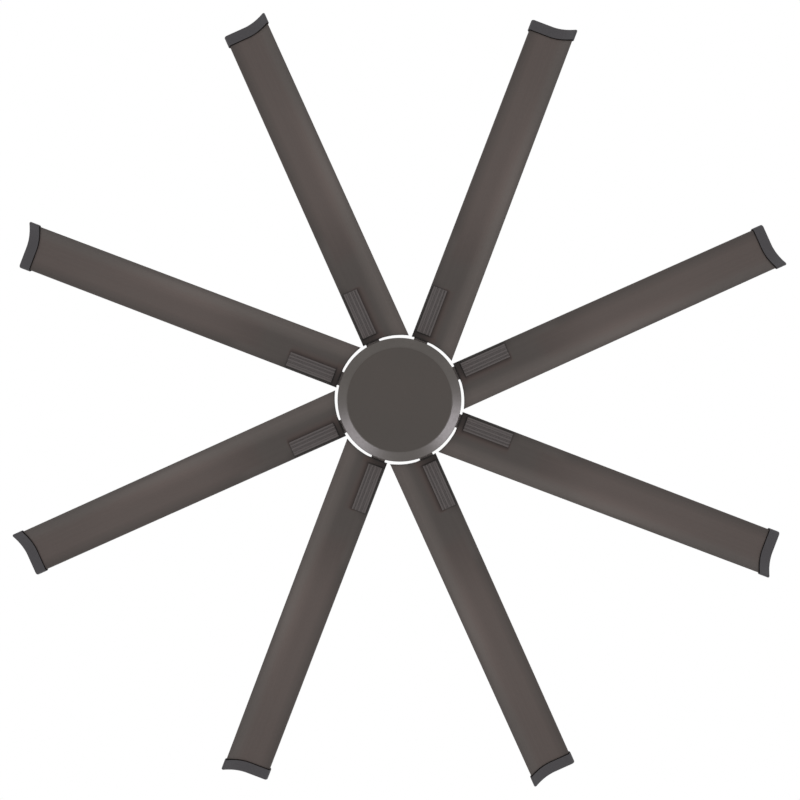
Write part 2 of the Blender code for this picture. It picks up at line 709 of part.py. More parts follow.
def stator_core_mesh():
    """Toothed stack on a sleeve that spans from bearing to bearing."""
    outline = []
    for tooth in range(TOOTH_COUNT):
        outline += tooth_points(2 * pi * tooth / TOOTH_COUNT)
    stack = prism("stator_core", outline, STACK_LOW, STACK_TOP)
    sleeve_low = ROTOR_BASE_TOP + SEAT_GAP
    sleeve_high = UPPER_BEARING_LOW - SEAT_GAP
    sleeve = prism("sleeve", circle(INNER_RACE_RADIUS, steps=STEPS), sleeve_low, sleeve_high)
    bore = prism("bore", circle(SHAFT_FIT, steps=STEPS), sleeve_low - OVERRUN, sleeve_high + OVERRUN)
    return cut(joined(stack, sleeve), bore)


def stator_windings_mesh():
    """Coil legs in the slots, joined by end turns above and below the stack."""
    outside = STATOR_RADIUS - SHOE_THICKNESS - COIL_MARGIN
    high = STACK_TOP + SEAT_GAP
    low = STACK_LOW - SEAT_GAP
    upper = ring_mesh("end_turns", COIL_INSIDE, outside, high, high + END_TURN_HEIGHT)
    lower = ring_mesh("end_turns", COIL_INSIDE, outside, low - END_TURN_HEIGHT, low)
    half_pitch = pi / TOOTH_COUNT
    start = COIL_INSIDE + SEAT_GAP
    half = (start * sin(half_pitch) - TOOTH_WIDTH / 2 - COIL_CLEARANCE) / cos(half_pitch)
    legs = []
    for slot in range(TOOTH_COUNT):
        leg = block(
            "leg",
            (start, -half, low - END_TURN_HEIGHT / 2),
            (outside - COIL_MARGIN / 2, half, high + END_TURN_HEIGHT / 2),
        )
        leg.transform(Matrix.Rotation((2 * slot + 1) * half_pitch, 4, "Z"))
        legs.append(leg)
    windings = joined(together("stator_windings", legs), together("rings", [upper, lower]))
    windings.name = "stator_windings"
    return windings


def lower_plate_mesh():
    """Plate on the shaft's lower end that the bottom cap snaps on to."""
    edge = BOTTOM_CAP_RADIUS - BOTTOM_CAP_WALL - SEAT_GAP
    hub_top = LOWER_BEARING_LOW - SEAT_GAP
    profile = [
        (SHAFT_FIT, hub_top),
        (INNER_RACE_RADIUS, hub_top),
        (INNER_RACE_RADIUS, LOWER_PLATE_TOP),
        (edge, LOWER_PLATE_TOP),
        (edge, LOWER_PLATE_LOW),
        (SHAFT_FIT, LOWER_PLATE_LOW),
    ]
    return turned("lower_plate", profile, FINE_STEPS)


def shaft_nut_mesh():
    top = LOWER_PLATE_LOW - SEAT_GAP
    nut = prism("shaft_nut", circle(NUT_RADIUS, steps=HEX_STEPS), NUT_LOW, top)
    bore = prism("bore", circle(SHAFT_FIT, steps=STEPS), NUT_LOW - OVERRUN, top + OVERRUN)
    return cut(nut, bore)


def add_motor_core(hanging, paints):
    shaft = ring_mesh("motor_shaft", SHAFT_BORE, SHAFT_RADIUS, SHAFT_LOW, SHAFT_TOP)
    place("motor_shaft", shaft, paints["bearing_steel"], hanging)
    place("stator_core", stator_core_mesh(), paints["stator_steel"], hanging)
    place("stator_windings", stator_windings_mesh(), paints["copper"], hanging)
    for name, low in (("upper", UPPER_BEARING_LOW), ("lower", LOWER_BEARING_LOW)):
        place(f"{name}_bearing_inner_race", inner_race_mesh(low), paints["bearing_steel"], hanging)
    place("lower_plate", lower_plate_mesh(), paints["motor_metal"], hanging)
    place("shaft_nut", shaft_nut_mesh(), paints["bearing_steel"], hanging)


# Covers round the motor


def bottom_cap_mesh():
    """Shallow cap with a bevelled rim, open above, and a bead inside that snaps over the lower plate."""
    wall = BOTTOM_CAP_WALL
    inside = BOTTOM_CAP_RADIUS - wall
    face = BOTTOM_CAP_RADIUS - BEVEL_WIDTH
    slant = hypot(BEVEL_WIDTH, BEVEL_HEIGHT)
    out = BEVEL_EASE * BEVEL_WIDTH / slant
    up = BEVEL_EASE * BEVEL_HEIGHT / slant
    corner = wall * (slant - BEVEL_HEIGHT) / BEVEL_WIDTH
    crease = wall * (slant - BEVEL_WIDTH) / BEVEL_HEIGHT
    bevel_top = BOTTOM_CAP_LOW + BEVEL_HEIGHT
    bead_top = BEAD_LOW + SNAP_BEAD_SIZE
    profile = [
        (0, BOTTOM_CAP_LOW),
        (face - BEVEL_EASE, BOTTOM_CAP_LOW),
        (face + out, BOTTOM_CAP_LOW + up),
        (BOTTOM_CAP_RADIUS - out, bevel_top - up),
        (BOTTOM_CAP_RADIUS, bevel_top + BEVEL_EASE),
        (BOTTOM_CAP_RADIUS, BOTTOM_CAP_TOP),
        (inside, BOTTOM_CAP_TOP),
        (inside, bead_top + SNAP_BEAD_SIZE),
        (inside - SNAP_BEAD_SIZE, bead_top),
        (inside - SNAP_BEAD_SIZE, BEAD_LOW),
        (inside, BEAD_LOW),
        (inside, bevel_top + crease),
        (face - corner, BOTTOM_CAP_LOW + wall),
        (0, BOTTOM_CAP_LOW + wall),
    ]
    return turned("bottom_cap", profile, FINE_STEPS)


def dome_profile(inner, crown, outer, low, shoulder, top, wall, steps):
    """Section of a turned shell: a flat crown, a round shoulder and a skirt, with its hole in the crown."""
    over = arc((crown, shoulder), (outer - crown, top - shoulder), pi / 2, 0, steps)
    under = arc((crown, shoulder), (outer - crown - wall, top - shoulder - wall), 0, pi / 2, steps)
    return [(inner, top)] + over + [(outer, low), (outer - wall, low)] + under + [(inner, top - wall)]


def upper_housing_mesh():
    profile = dome_profile(
        YOKE_RADIUS + SEAT_GAP,
        HOUSING_CROWN_RADIUS,
        HOUSING_RADIUS,
        HOUSING_LOW,
        HOUSING_LOW + HOUSING_SKIRT,
        HOUSING_TOP,
        HOUSING_WALL,
        SHOULDER_STEPS,
    )
    return turned("upper_housing", profile, FINE_STEPS)


def coupling_cover_mesh():
    profile = dome_profile(
        ROD_RADIUS + SEAT_GAP,
        COVER_RADIUS - COVER_SHOULDER,
        COVER_RADIUS,
        COVER_LOW,
        COVER_TOP - COVER_SHOULDER,
        COVER_TOP,
        COVER_WALL,
        SHOULDER_STEPS,
    )
    return turned("coupling_cover", profile)


def add_covers(hanging, paints):
    place("upper_housing", upper_housing_mesh(), paints["housing_paint"], hanging)
    place("coupling_cover", coupling_cover_mesh(), paints["housing_paint"], hanging)
    place("bottom_cap", bottom_cap_mesh(), paints["housing_paint"], hanging)


# Yoke, downrod and hanger ball


def yoke_mesh():
    """Socket for the downrod above a flange that carries the upper housing."""
    profile = [
        (SHAFT_FIT, YOKE_LOW),
        (SHAFT_FIT, SOCKET_FLOOR),
        (SOCKET_RADIUS, SOCKET_FLOOR),
        (SOCKET_RADIUS, YOKE_TOP),
        (YOKE_RADIUS, YOKE_TOP),
        (YOKE_RADIUS, FLANGE_TOP),
        (YOKE_FLANGE_RADIUS, FLANGE_TOP),
        (YOKE_FLANGE_RADIUS, YOKE_LOW),
    ]
    yoke = turned("motor_yoke", profile)
    reach = YOKE_RADIUS + OVERRUN
    yoke = cut(yoke, cross_pin(YOKE_PIN_RADIUS + SEAT_GAP, YOKE_PIN_LEVEL, -reach, reach))
    hole = prism("hole", circle(SET_SCREW_RADIUS + SEAT_GAP, (SET_SCREW_LEVEL, 0)), 0, reach)
    return cut(yoke, along_y(hole))


def cross_pin(radius, level, start, end):
    """Cylinder along X at a height."""
    return along_x(prism("cross_pin", circle(radius, (0, level)), start, end))


def yoke_pin_mesh():
    reach = YOKE_RADIUS + PIN_OVERHANG
    pin = cross_pin(YOKE_PIN_RADIUS, YOKE_PIN_LEVEL, -reach, reach)
    head = cross_pin(YOKE_PIN_RADIUS * HEAD_SHARE, YOKE_PIN_LEVEL, YOKE_RADIUS + SEAT_GAP, reach + OVERRUN)
    return joined(pin, head)


def set_screw_mesh():
    outline = circle(SET_SCREW_RADIUS, (SET_SCREW_LEVEL, 0))
    shank = prism("set_screw", outline, SOCKET_RADIUS, YOKE_RADIUS + PIN_OVERHANG / 2)
    head = prism(
        "head",
        circle(SET_SCREW_RADIUS * HEAD_SHARE, (SET_SCREW_LEVEL, 0), HEX_STEPS),
        YOKE_RADIUS + SEAT_GAP,
        YOKE_RADIUS + PIN_OVERHANG,
    )
    return along_y(joined(shank, head))


def downrod_mesh():
    """Pipe with cross holes for the hanger pin and the yoke pin."""
    rod = ring_mesh("downrod", ROD_RADIUS - ROD_WALL, ROD_RADIUS, ROD_LOW, ROD_TOP)
    reach = ROD_RADIUS + OVERRUN
    rod = cut(rod, cross_pin(YOKE_PIN_RADIUS + SEAT_GAP, YOKE_PIN_LEVEL, -reach, reach))
    hole = prism("hole", circle(HANGER_PIN_RADIUS + SEAT_GAP, (BALL_TOP, 0)), -reach, reach)
    return cut(rod, along_y(hole))


def hanger_ball_mesh():
    """Ball with a flat top, a bore for the rod, a groove for the pin and a slot for the bracket's stub."""
    rise = BALL_TOP - BALL_LEVEL
    bore = SOCKET_RADIUS
    turns = [pi / 2 * step / BALL_STEPS for step in range(-BALL_STEPS, BALL_STEPS + 1)]
    outside = [(BALL_RADIUS * cos(turn), BALL_RADIUS * sin(turn)) for turn in turns]
    outside = [(r, z) for r, z in outside if z < rise and r > BALL_FLAT_RADIUS]
    foot = -sqrt(BALL_RADIUS**2 - BALL_FLAT_RADIUS**2)
    outside = [(bore, foot), (BALL_FLAT_RADIUS, foot)] + outside + [(BALL_FLAT_RADIUS, rise), (bore, rise)]
    ball = turned("hanger_ball", [(r, BALL_LEVEL + z) for r, z in outside])
    groove = circle(HANGER_PIN_RADIUS + SEAT_GAP, (BALL_TOP, 0))
    ball = cut(ball, along_y(prism("groove", groove, -BALL_RADIUS, BALL_RADIUS)))
    half = STUB_RADIUS + SLOT_CLEARANCE
    slot = block(
        "slot",
        (BALL_RADIUS - SLOT_DEPTH, -half, BALL_LEVEL - SLOT_BELOW),
        (BALL_RADIUS + OVERRUN, half, BALL_TOP + OVERRUN),
    )
    return cut(ball, slot)


def hanger_pin_mesh():
    """Pin through the rod that rests in the groove on top of the ball."""
    reach = BALL_FLAT_RADIUS - HANGER_PIN_RADIUS
    return along_y(prism("hanger_pin", circle(HANGER_PIN_RADIUS, (BALL_TOP, 0)), -reach, reach))


def add_hanger(hanging, paints):
    place("motor_yoke", yoke_mesh(), paints["cast_steel"], hanging)
    place("yoke_pin", yoke_pin_mesh(), paints["bearing_steel"], hanging)
    place("yoke_set_screw", set_screw_mesh(), paints["bearing_steel"], hanging)
    place("downrod", downrod_mesh(), paints["housing_paint"], hanging)
    place("hanger_ball", hanger_ball_mesh(), paints["ball_plastic"], hanging)
    place("hanger_pin", hanger_pin_mesh(), paints["bearing_steel"], hanging)


# Ceiling bracket, canopy and receiver


def cradle_mesh():
    """Ring under the ball with a sloping seat, open on the +Y side so that the rod can be hooked in."""
    slope = SEAT_RADIUS / (BALL_LEVEL - SEAT_LEVEL)
    seat = SEAT_RADIUS + BALL_GAP * BALL_RADIUS / (BALL_LEVEL - SEAT_LEVEL)
    top = SEAT_LEVEL + SEAT_ABOVE
    foot = SEAT_LEVEL - SEAT_BELOW
    mouth = seat - SEAT_BELOW / slope
    crest = seat + SEAT_ABOVE / slope
    profile = [
        (mouth, CRADLE_LOW),
        (mouth, foot),
        (crest, top),
        (crest + SEAT_WIDTH, top),
        (crest + SEAT_WIDTH, CRADLE_LOW + CRADLE_THICKNESS),
        (CRADLE_RADIUS, CRADLE_LOW + CRADLE_THICKNESS),
        (CRADLE_RADIUS, CRADLE_LOW),
    ]
    cradle = turned("cradle", profile)
    half = ROD_RADIUS + HEADROOM
    low = (-half, 0, CRADLE_LOW - OVERRUN)
    high = (half, CRADLE_RADIUS + OVERRUN, top + OVERRUN)
    return cut(cradle, block("way_in", low, high))


def bracket_mesh():
    """Ceiling plate with two legs, the cradle, two lugs and the stub that keeps the ball from turning."""
    end = BRACKET_END
    half = BRACKET_HALF_WIDTH
    outline = rounded_rectangle((-end, -half), (end, half), BRACKET_CORNER)
    plate = prism("ceiling_bracket", outline, -BRACKET_THICKNESS, 0)
    inside = BRACKET_THICKNESS / 2
    leg_low = CRADLE_LOW + CRADLE_THICKNESS / 2
    lug_face = end - BRACKET_THICKNESS
    sides = []
    for side in (-1, 1):
        near, far = sorted((side * LEG_INSIDE, side * (LEG_INSIDE + LEG_THICKNESS)))
        sides.append(block("leg", (near, -LEG_HALF_WIDTH, leg_low), (far, LEG_HALF_WIDTH, -inside)))
        near, far = sorted((side * lug_face, side * (end - inside / 2)))
        sides.append(block("lug", (near, -LUG_HALF_WIDTH, -LUG_HEIGHT), (far, LUG_HALF_WIDTH, -inside)))
    stub_start = BALL_RADIUS - STUB_REACH
    stub = cross_pin(STUB_RADIUS, BALL_LEVEL, stub_start, LEG_INSIDE + LEG_THICKNESS / 2)
    bracket = joined(plate, together("sides", sides))
    bracket = joined(bracket, cradle_mesh())
    bracket = joined(bracket, stub)
    cuts = ceiling_slots() + lug_holes(CANOPY_SCREW_RADIUS + SEAT_GAP)
    return cut(bracket, together("bracket_cuts", cuts))


def ceiling_slots():
    """Cutters for the two slots that the ceiling screws pass."""
    leg = LEG_INSIDE + LEG_THICKNESS
    centre = leg + (BRACKET_END - BRACKET_THICKNESS - leg) * CEILING_SLOT_SHARE
    half = CEILING_SLOT_LENGTH / 2
    slots = []
    for side in (-1, 1):
        low = (side * centre - half, -CEILING_SLOT_RADIUS)
        high = (side * centre + half, CEILING_SLOT_RADIUS)
        outline = rounded_rectangle(low, high, CEILING_SLOT_RADIUS * SLOT_END_SHARE)
        slots.append(prism("slot", outline, -BRACKET_THICKNESS - OVERRUN, OVERRUN))
    return slots


def lug_holes(radius):
    """Cylinders along X through both lugs and the canopy's wall."""
    start = BRACKET_END - BRACKET_THICKNESS - OVERRUN
    reach = CANOPY_RADIUS + OVERRUN
    spans = ((-reach, -start), (start, reach))
    return [cross_pin(radius, -LUG_SCREW_DEPTH, near, far) for near, far in spans]


def canopy_mesh():
    """Cover over the bracket, open to the ceiling, with a throat that the rod swings in."""
    flat = CANOPY_RADIUS - CANOPY_SHOULDER
    shoulder = CANOPY_LOW + CANOPY_SHOULDER
    top = -CEILING_GAP
    wall = CANOPY_WALL
    outer = arc((flat, shoulder), (CANOPY_SHOULDER, CANOPY_SHOULDER), 0, -pi / 2, SHOULDER_STEPS)
    inset = CANOPY_SHOULDER - wall
    inner = arc((flat, shoulder), (inset, inset), -pi / 2, 0, SHOULDER_STEPS)
    profile = [(CANOPY_INSIDE, top), (CANOPY_RADIUS, top)] + outer
    profile += [(THROAT_RADIUS, CANOPY_LOW), (THROAT_RADIUS, CANOPY_LOW + wall)] + inner
    canopy = turned("canopy", profile, FINE_STEPS)
    return cut(canopy, together("canopy_holes", lug_holes(CANOPY_SCREW_RADIUS + SEAT_GAP)))


def canopy_screw_mesh(side):
    """Screw through the canopy's wall into the bracket's lug."""
    start = BRACKET_END - BRACKET_THICKNESS - OVERRUN / 2
    head_start = CANOPY_RADIUS + SEAT_GAP
    shank = cross_pin(CANOPY_SCREW_RADIUS, -LUG_SCREW_DEPTH, start, head_start + SCREW_HEAD_HEIGHT / 2)
    head = cross_pin(CANOPY_SCREW_HEAD, -LUG_SCREW_DEPTH, head_start, head_start + SCREW_HEAD_HEIGHT)
    screw = joined(shank, head)
    if side < 0:
        screw.transform(Matrix.Rotation(pi, 4, "Z"))
    return screw


def receiver_mesh():
    half_length = LEG_INSIDE - RECEIVER_CLEARANCE
    low = (-half_length, -RECEIVER_HALF_WIDTH)
    high = (half_length, RECEIVER_HALF_WIDTH)
    return prism("receiver", rounded_rectangle(low, high, RECEIVER_CORNER), RECEIVER_LOW, RECEIVER_TOP)


def add_ceiling_side(paints):
    place("ceiling_bracket", bracket_mesh(), paints["cast_steel"])
    place("canopy", canopy_mesh(), paints["housing_paint"])
    trim_edge = THROAT_RADIUS + TRIM_WIDTH
    trim = ring_mesh("canopy_trim", THROAT_RADIUS, trim_edge, TRIM_LOW, TRIM_TOP, FINE_STEPS)
    place("canopy_trim", trim, paints["housing_paint"])
    place("receiver", receiver_mesh(), paints["receiver_plastic"])
    place("canopy_screw_right", canopy_screw_mesh(1), paints["bearing_steel"])
    place("canopy_screw_left", canopy_screw_mesh(-1), paints["bearing_steel"])


def make_paints():
    finishes = (
        ("blade_paint", (0.088, 0.073, 0.069), 0.45, 0.3),
        ("cap_plastic", (0.062, 0.060, 0.063), 0.50, 0.0),
        ("plate_paint", (0.074, 0.066, 0.066), 0.45, 0.2),
        ("arm_paint", (0.040, 0.036, 0.034), 0.50, 0.2),
        ("housing_paint", (0.082, 0.074, 0.068), 0.40, 0.4),
        ("motor_metal", (0.30, 0.30, 0.31), 0.45, 1.0),
        ("magnet", (0.09, 0.09, 0.10), 0.50, 0.6),
        ("bearing_steel", (0.55, 0.55, 0.56), 0.25, 1.0),
        ("stator_steel", (0.22, 0.22, 0.23), 0.50, 0.9),
        ("copper", (0.60, 0.27, 0.13), 0.40, 0.9),
        ("cast_steel", (0.18, 0.18, 0.19), 0.55, 0.8),
        ("ball_plastic", (0.03, 0.03, 0.03), 0.40, 0.0),
        ("receiver_plastic", (0.06, 0.06, 0.06), 0.60, 0.0),
    )
    return {name: paint(name, colour, roughness, metallic) for name, colour, roughness, metallic in finishes}


def main():
    clear_scene()
    paints = make_paints()
    hanging = pivot("hanger_swing_axis", BALL_LEVEL)
    rotor = pivot("rotor_spin_axis", BLADE_LEVEL, hanging)
    add_ceiling_side(paints)
    add_hanger(hanging, paints)
    add_motor_core(hanging, paints)
    add_covers(hanging, paints)
    add_rotor(rotor, paints)
    add_blades(rotor, paints)


main()
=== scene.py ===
"""Ceiling fan seen from straight below: fine surfaces, finishes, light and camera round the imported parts.

Metres, +Z up. The origin is on the fan's axis, on the ceiling.
A blade and its fittings are modelled along +X, with the trailing edge on +Y, and are turned into place.
"""

from math import asin, cos, hypot, pi, radians, sin, sqrt

import bmesh
import bpy
from mathutils import Matrix, Vector


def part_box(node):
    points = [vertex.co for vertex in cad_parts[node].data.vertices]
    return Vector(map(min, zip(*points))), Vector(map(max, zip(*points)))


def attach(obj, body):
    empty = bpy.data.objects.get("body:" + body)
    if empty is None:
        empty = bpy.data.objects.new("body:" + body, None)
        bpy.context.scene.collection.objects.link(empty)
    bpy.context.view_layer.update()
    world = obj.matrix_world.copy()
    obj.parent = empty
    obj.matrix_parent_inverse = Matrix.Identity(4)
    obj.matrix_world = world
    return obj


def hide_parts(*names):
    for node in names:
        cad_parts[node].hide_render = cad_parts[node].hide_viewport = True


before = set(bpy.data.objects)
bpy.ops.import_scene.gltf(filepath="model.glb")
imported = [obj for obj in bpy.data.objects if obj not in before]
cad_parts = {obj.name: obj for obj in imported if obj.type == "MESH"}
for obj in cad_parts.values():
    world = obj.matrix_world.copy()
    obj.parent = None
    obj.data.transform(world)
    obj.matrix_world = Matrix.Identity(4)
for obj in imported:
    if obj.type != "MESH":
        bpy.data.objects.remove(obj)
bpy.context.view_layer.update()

# Fits
SEAT_GAP = 0.0003
OVERRUN = 0.002
WELD = 0.000001
SHARP = radians(25)
EASE_ANGLE = radians(40)
ROUND_END_SHARE = 0.99

# Facets
TURN_STEPS = 128
ROD_STEPS = 64
PIN_STEPS = 32
EASE_STEPS = 4
ARC_STEPS = 14
CORNER_STEPS = 8
HEX_STEPS = 6

# Blades
BLADE_COUNT = 8
FIRST_BLADE_ANGLE = radians(20.82)
ROOT_RADIUS = 0.1705
ROOT_TUCK = 0.0012
TIP_REACH = 1.0632
LEAD_AT_ROOT = 0.0295
LEAD_AT_TIP = 0.0270
TRAIL_AT_ROOT = 0.0911
TRAIL_AT_TIP = 0.0884
BLADE_FLAT = 0.0264
BLADE_DROP = 0.0249
BLADE_THICKNESS = 0.009
TAIL_THICKNESS = 0.0024
BLADE_WALL = 0.0016
THICK_END_SHARE = 0.6
NOSE_STEPS = 9
DROP_STEPS = 28
TAIL_STEPS = 5
WEB_SHARES = (0.34, 0.67)
GUARD = 0.0006

# Tip caps
CAP_LENGTH = 0.028
CAP_PROUD = 0.0035
CAP_END_WALL = 0.0035
CAP_EDGE_RADIUS = 0.0026
CAP_LIP = 0.0007
CAP_FLARE = 0.0024
CAP_FLARE_DEPTH = 0.010
CAP_EDGE_STEPS = 7

# Clamp plates
PLATE_INSET = 0.0147
PLATE_LENGTH = 0.127
PLATE_WIDTH = 0.0377
PLATE_OFFSET = -0.0029
PLATE_BASE = 0.0034
RIB_HEIGHT = 0.0018
GROOVE_SHARES = ((0.11, 0.17, 0.4), (0.25, 0.42, 1.0), (0.53, 0.68, 1.0), (0.78, 0.89, 1.0))
GROOVE_SLOPE_SHARE = 0.6
GROOVE_STEPS = 16
STUD_RADIUS = 0.003
STUD_SHARES = (0.14, 0.5, 0.86)
PLATE_EASE = 0.0005

# Arms
ARM_WIDTH = 0.0376
ARM_THICKNESS = 0.006
ARM_CORNER = 0.006
ARM_RIB_WIDTH = 0.010
ARM_RIB_HEIGHT = 0.0045
ARM_EASE = 0.0006
NUT_RADIUS = 0.0055
NUT_HEIGHT = 0.0028
STUD_TIP = 0.0008
FOOT_SHARES = (0.3, 0.75)
ARM_SEAT = 0.040
ARM_SEAT_RADIUS = 0.128

# Turned covers
BEVEL_HEIGHT = 0.016
BEVEL_WIDTH = 0.024
BEVEL_CUT = 0.0016
EASE_REACH = 1.4
CAP_RING_SHARE = 0.8
RIM_CUT = 0.0005
COVER_WALL = 0.002
THIN_WALL = 0.0015
BEAD_DEPTH = 0.0062
BEAD_SIZE = 0.002
RACE_WIDTH = 0.0037
HOUSING_CROWN_RADIUS = 0.070
HOUSING_SKIRT = 0.016
COUPLING_SHOULDER = 0.014
CANOPY_SHOULDER = 0.030
TRIM_WIDTH = 0.018

# Yoke, rod and ball
SHAFT_FIT = 0.0103
YOKE_RADIUS = 0.020
ROD_WALL = 0.0028
YOKE_DEPTH = 0.037
YOKE_PIN_SHARE = 0.42
YOKE_PIN_RADIUS = 0.004
HANGER_PIN_RADIUS = 0.003
BALL_GAP = 0.0004
STUB_RADIUS = 0.0025
SLOT_CLEARANCE = 0.0005
SLOT_DEPTH = 0.006
SLOT_BELOW = 0.012

# Ceiling bracket
BRACKET_THICKNESS = 0.003
BRACKET_HALF_WIDTH = 0.020
BRACKET_CORNER = 0.005
LEG_THICKNESS = 0.003
LEG_HALF_WIDTH = 0.013
LEG_INSIDE = 0.041
CRADLE_THICKNESS = 0.004
CRADLE_MARGIN = 0.005
SEAT_RADIUS = 0.022
SEAT_WIDTH = 0.007
SEAT_ABOVE = 0.005
SEAT_BELOW = 0.002
STUB_REACH = 0.004
LUG_HEIGHT = 0.022
LUG_HALF_WIDTH = 0.009
LUG_SCREW_DEPTH = 0.014
CEILING_SLOT_LENGTH = 0.016
CEILING_SLOT_RADIUS = 0.003
CANOPY_SCREW_RADIUS = 0.002
CANOPY_SCREW_HEAD = 0.004
SCREW_HEAD_HEIGHT = 0.0025
SCREW_HEAD_CUT = 0.0015
RECESS_DEPTH = 0.0012
RECESS_REACH = 0.0024
RECESS_HALF_WIDTH = 0.00052
MOUTH_MARGIN = 0.0015
SHEET_EASE = 0.0004

# Receiver
RECEIVER_CORNER = 0.003
RECEIVER_EASE = 0.0009
SEAM_WIDTH = 0.0004
SEAM_DEPTH = 0.0004

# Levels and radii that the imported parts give
BLADE_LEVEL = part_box("blade_1")[1].z - BLADE_THICKNESS
ARM_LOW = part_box("blade_arm_1")[0].z + NUT_HEIGHT
ARM_TOP = ARM_LOW + ARM_THICKNESS
ARM_START = ARM_SEAT_RADIUS - ARM_SEAT
PLATE_START = ROOT_RADIUS + PLATE_INSET
PLATE_END = PLATE_START + PLATE_LENGTH
CAP_START = TIP_REACH - CAP_LENGTH
BLADE_END = TIP_REACH - CAP_END_WALL - SEAT_GAP
CAP_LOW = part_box("bottom_cap")[0].z
CAP_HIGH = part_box("bottom_cap")[1].z
CAP_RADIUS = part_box("bottom_cap")[1].x
CAP_FACE_RADIUS = CAP_RADIUS - BEVEL_WIDTH - BEVEL_CUT * EASE_REACH
CAP_WALL_LOW = CAP_LOW + BEVEL_HEIGHT + BEVEL_CUT * EASE_REACH
ROD_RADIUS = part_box("downrod")[1].x
ROD_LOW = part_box("downrod")[0].z
BALL_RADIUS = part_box("hanger_ball")[1].x
BALL_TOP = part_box("hanger_ball")[1].z
BALL_LEVEL = (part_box("hanger_ball")[0].z + BALL_TOP) / 2
YOKE_PIN_LEVEL = ROD_LOW - SEAT_GAP + YOKE_DEPTH * YOKE_PIN_SHARE
CANOPY_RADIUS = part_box("canopy")[1].x
BRACKET_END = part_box("ceiling_bracket")[1].x
CRADLE_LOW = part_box("ceiling_bracket")[0].z

# Zones on a blade, each as the spans that lead into it: a measure, its value outside and its value inside.
# The measures are the blade's own x, y and z, the radius from the fan's axis and the gap to the clamp plate.
UNDERSIDE = ("z", BLADE_LEVEL + 0.006, BLADE_LEVEL + 0.003)

# Painted light and shade on the blades' coat: how much of the tone each leaves, and the spans of its zone.
# Below one is painted shade (root, root's rim, neck, round the plate, edges, far end, cap seam); above one is
# painted light (beside the root, past the plate, the streak on the trailing side).
BLADE_PAINTED_LIGHT_AND_SHADE = {
    "root": (0.74, ("x", 0.60, 0.33), ("y", 0.074, 0.036)),
    "root_trailing_side": (1.06, ("x", 0.50, 0.40), ("y", 0.042, 0.062)),
    "root_corner": (1.05, ("x", 0.23, 0.18), ("y", 0.042, 0.062)),
    "root_rim": (0.65, ("radius", ROOT_RADIUS + 0.003, ROOT_RADIUS)),
    "neck": (0.60, ("x", PLATE_START + 0.008, PLATE_START - 0.003), ("y", 0.034, 0.0), UNDERSIDE),
    "round_plate": (0.65, ("plate", 0.012, 0.0)),
    "leading_edge": (0.73, ("y", 0.008, -0.029)),
    "leading_edge_past_plate": (1.20, ("x", 0.31, 0.34), ("x", 0.49, 0.43), ("y", 0.004, -0.016)),
    "streak": (1.24, ("x", 0.36, 0.60), ("x", 0.90, 0.62), ("y", 0.031, 0.066), ("y", 0.090, 0.074)),
    "trailing_edge": (0.90, ("y", 0.074, 0.090)),
    "trailing_edge_far_out": (0.92, ("x", 0.60, 0.70), ("y", 0.066, 0.084)),
    "far_end": (0.95, ("x", 0.79, 0.98)),
    "cap_seam": (0.3, ("x", CAP_START - 0.0015, CAP_START + 0.0005)),
}
SHEEN_SHARE = 0.18
LEAST_TONE = 0.06

# Hues of the blades' coat, and the spans of the zones where it leaves the brown of the blade's middle. The
# olive at the edges and on the trailing side is a painted tint of the light there, and the darker brown close
# behind the clamp plate and under the neck is painted shade.
BROWN = (0.0994, 0.0779, 0.0715)
OLIVE = (0.0994, 0.0849, 0.0785)
PAINTED_SHADE_BROWN = (0.0994, 0.0690, 0.0610)
HUE_ZONES = {
    "outer_part": (("x", 0.375, 0.425),),
    "outer_trailing_side": (("y", 0.050, 0.073),),
    "inner_trailing_side": (("y", 0.029, 0.042),),
    "past_plate": (("x", 0.300, 0.325),),
    "leading_side": (("x", 0.178, 0.190), ("y", 0.004, -0.018)),
    "leading_side_far_out": (("x", 0.46, 0.53),),
    "close_behind_plate": (("plate", 0.016, 0.004), ("y", 0.0, 0.010)),
    "neck": (("x", PLATE_START + 0.004, PLATE_START - 0.004), ("y", 0.038, 0.026), UNDERSIDE),
}
OLIVE_SHARE = 0.85
OLIVE_LEFT_FAR_OUT = 0.55
HUE_DRIFT = (-0.15, 0.15)

# Materials by name
FINISHES = {}

# Patterns of the finishes
UNIT = (0.0, 1.0)
NOISE_SPAN = (0.3, 0.7)
DRIFT_SPAN = (0.35, 0.65)
MARK_SPAN = (0.25, 0.75)
# Painted light on the plate's rib crests and painted shade in its grooves
RIB_PAINTED_LIGHT_AND_SHADE = (1.14, 0.95)
# Painted light on the arm's underside close to the root, and the distance over which it fades
NECK_PAINTED_LIGHT = 2.1
NECK_FADE = 0.02
PLATE_GAP_WEIGHTS = (2.0, 1.0, 8.0)
PLATE_GAP_DEPTH_SHARE = 2 / 3

# Camera, room and light
VIEW_DISTANCE = 1.8
CAMERA_X = 0.00139
CAMERA_Y = 0.00064
LENS = 30.67
SENSOR = 36.0
FLOOR_LEVEL = -3.5
FLOOR_RADIUS = 14.0
FLOOR_TINTS = ((0.80, 0.80, 0.79), (0.84, 0.84, 0.83))
FLOOR_FADE_SPAN = (2.5, 9.0)
FLOOR_FADE = (0.25, 1.0)
AMBIENT = 0.7
WHITE = (1.0, 1.0, 1.0, 1.0)
BEVEL_LAMP_DISTANCE = 2.0
BEVEL_LAMP_DIP = radians(22.6)
BEVEL_LAMP_COLOUR = (0.85, 0.87, 1.0)

# Level, size and power of the lamps on the fan's axis
LOW_LAMP = (-2.9, 4.4, 30.0)
HIGH_LAMP = (2.2, 4.0, 60.0)

# Azimuth in degrees, size and power of the lamps that only the bottom cap's bevel reflects
BEVEL_LAMPS = ((28.0, 1.6, 23.0), (138.5, 1.7, 19.5))


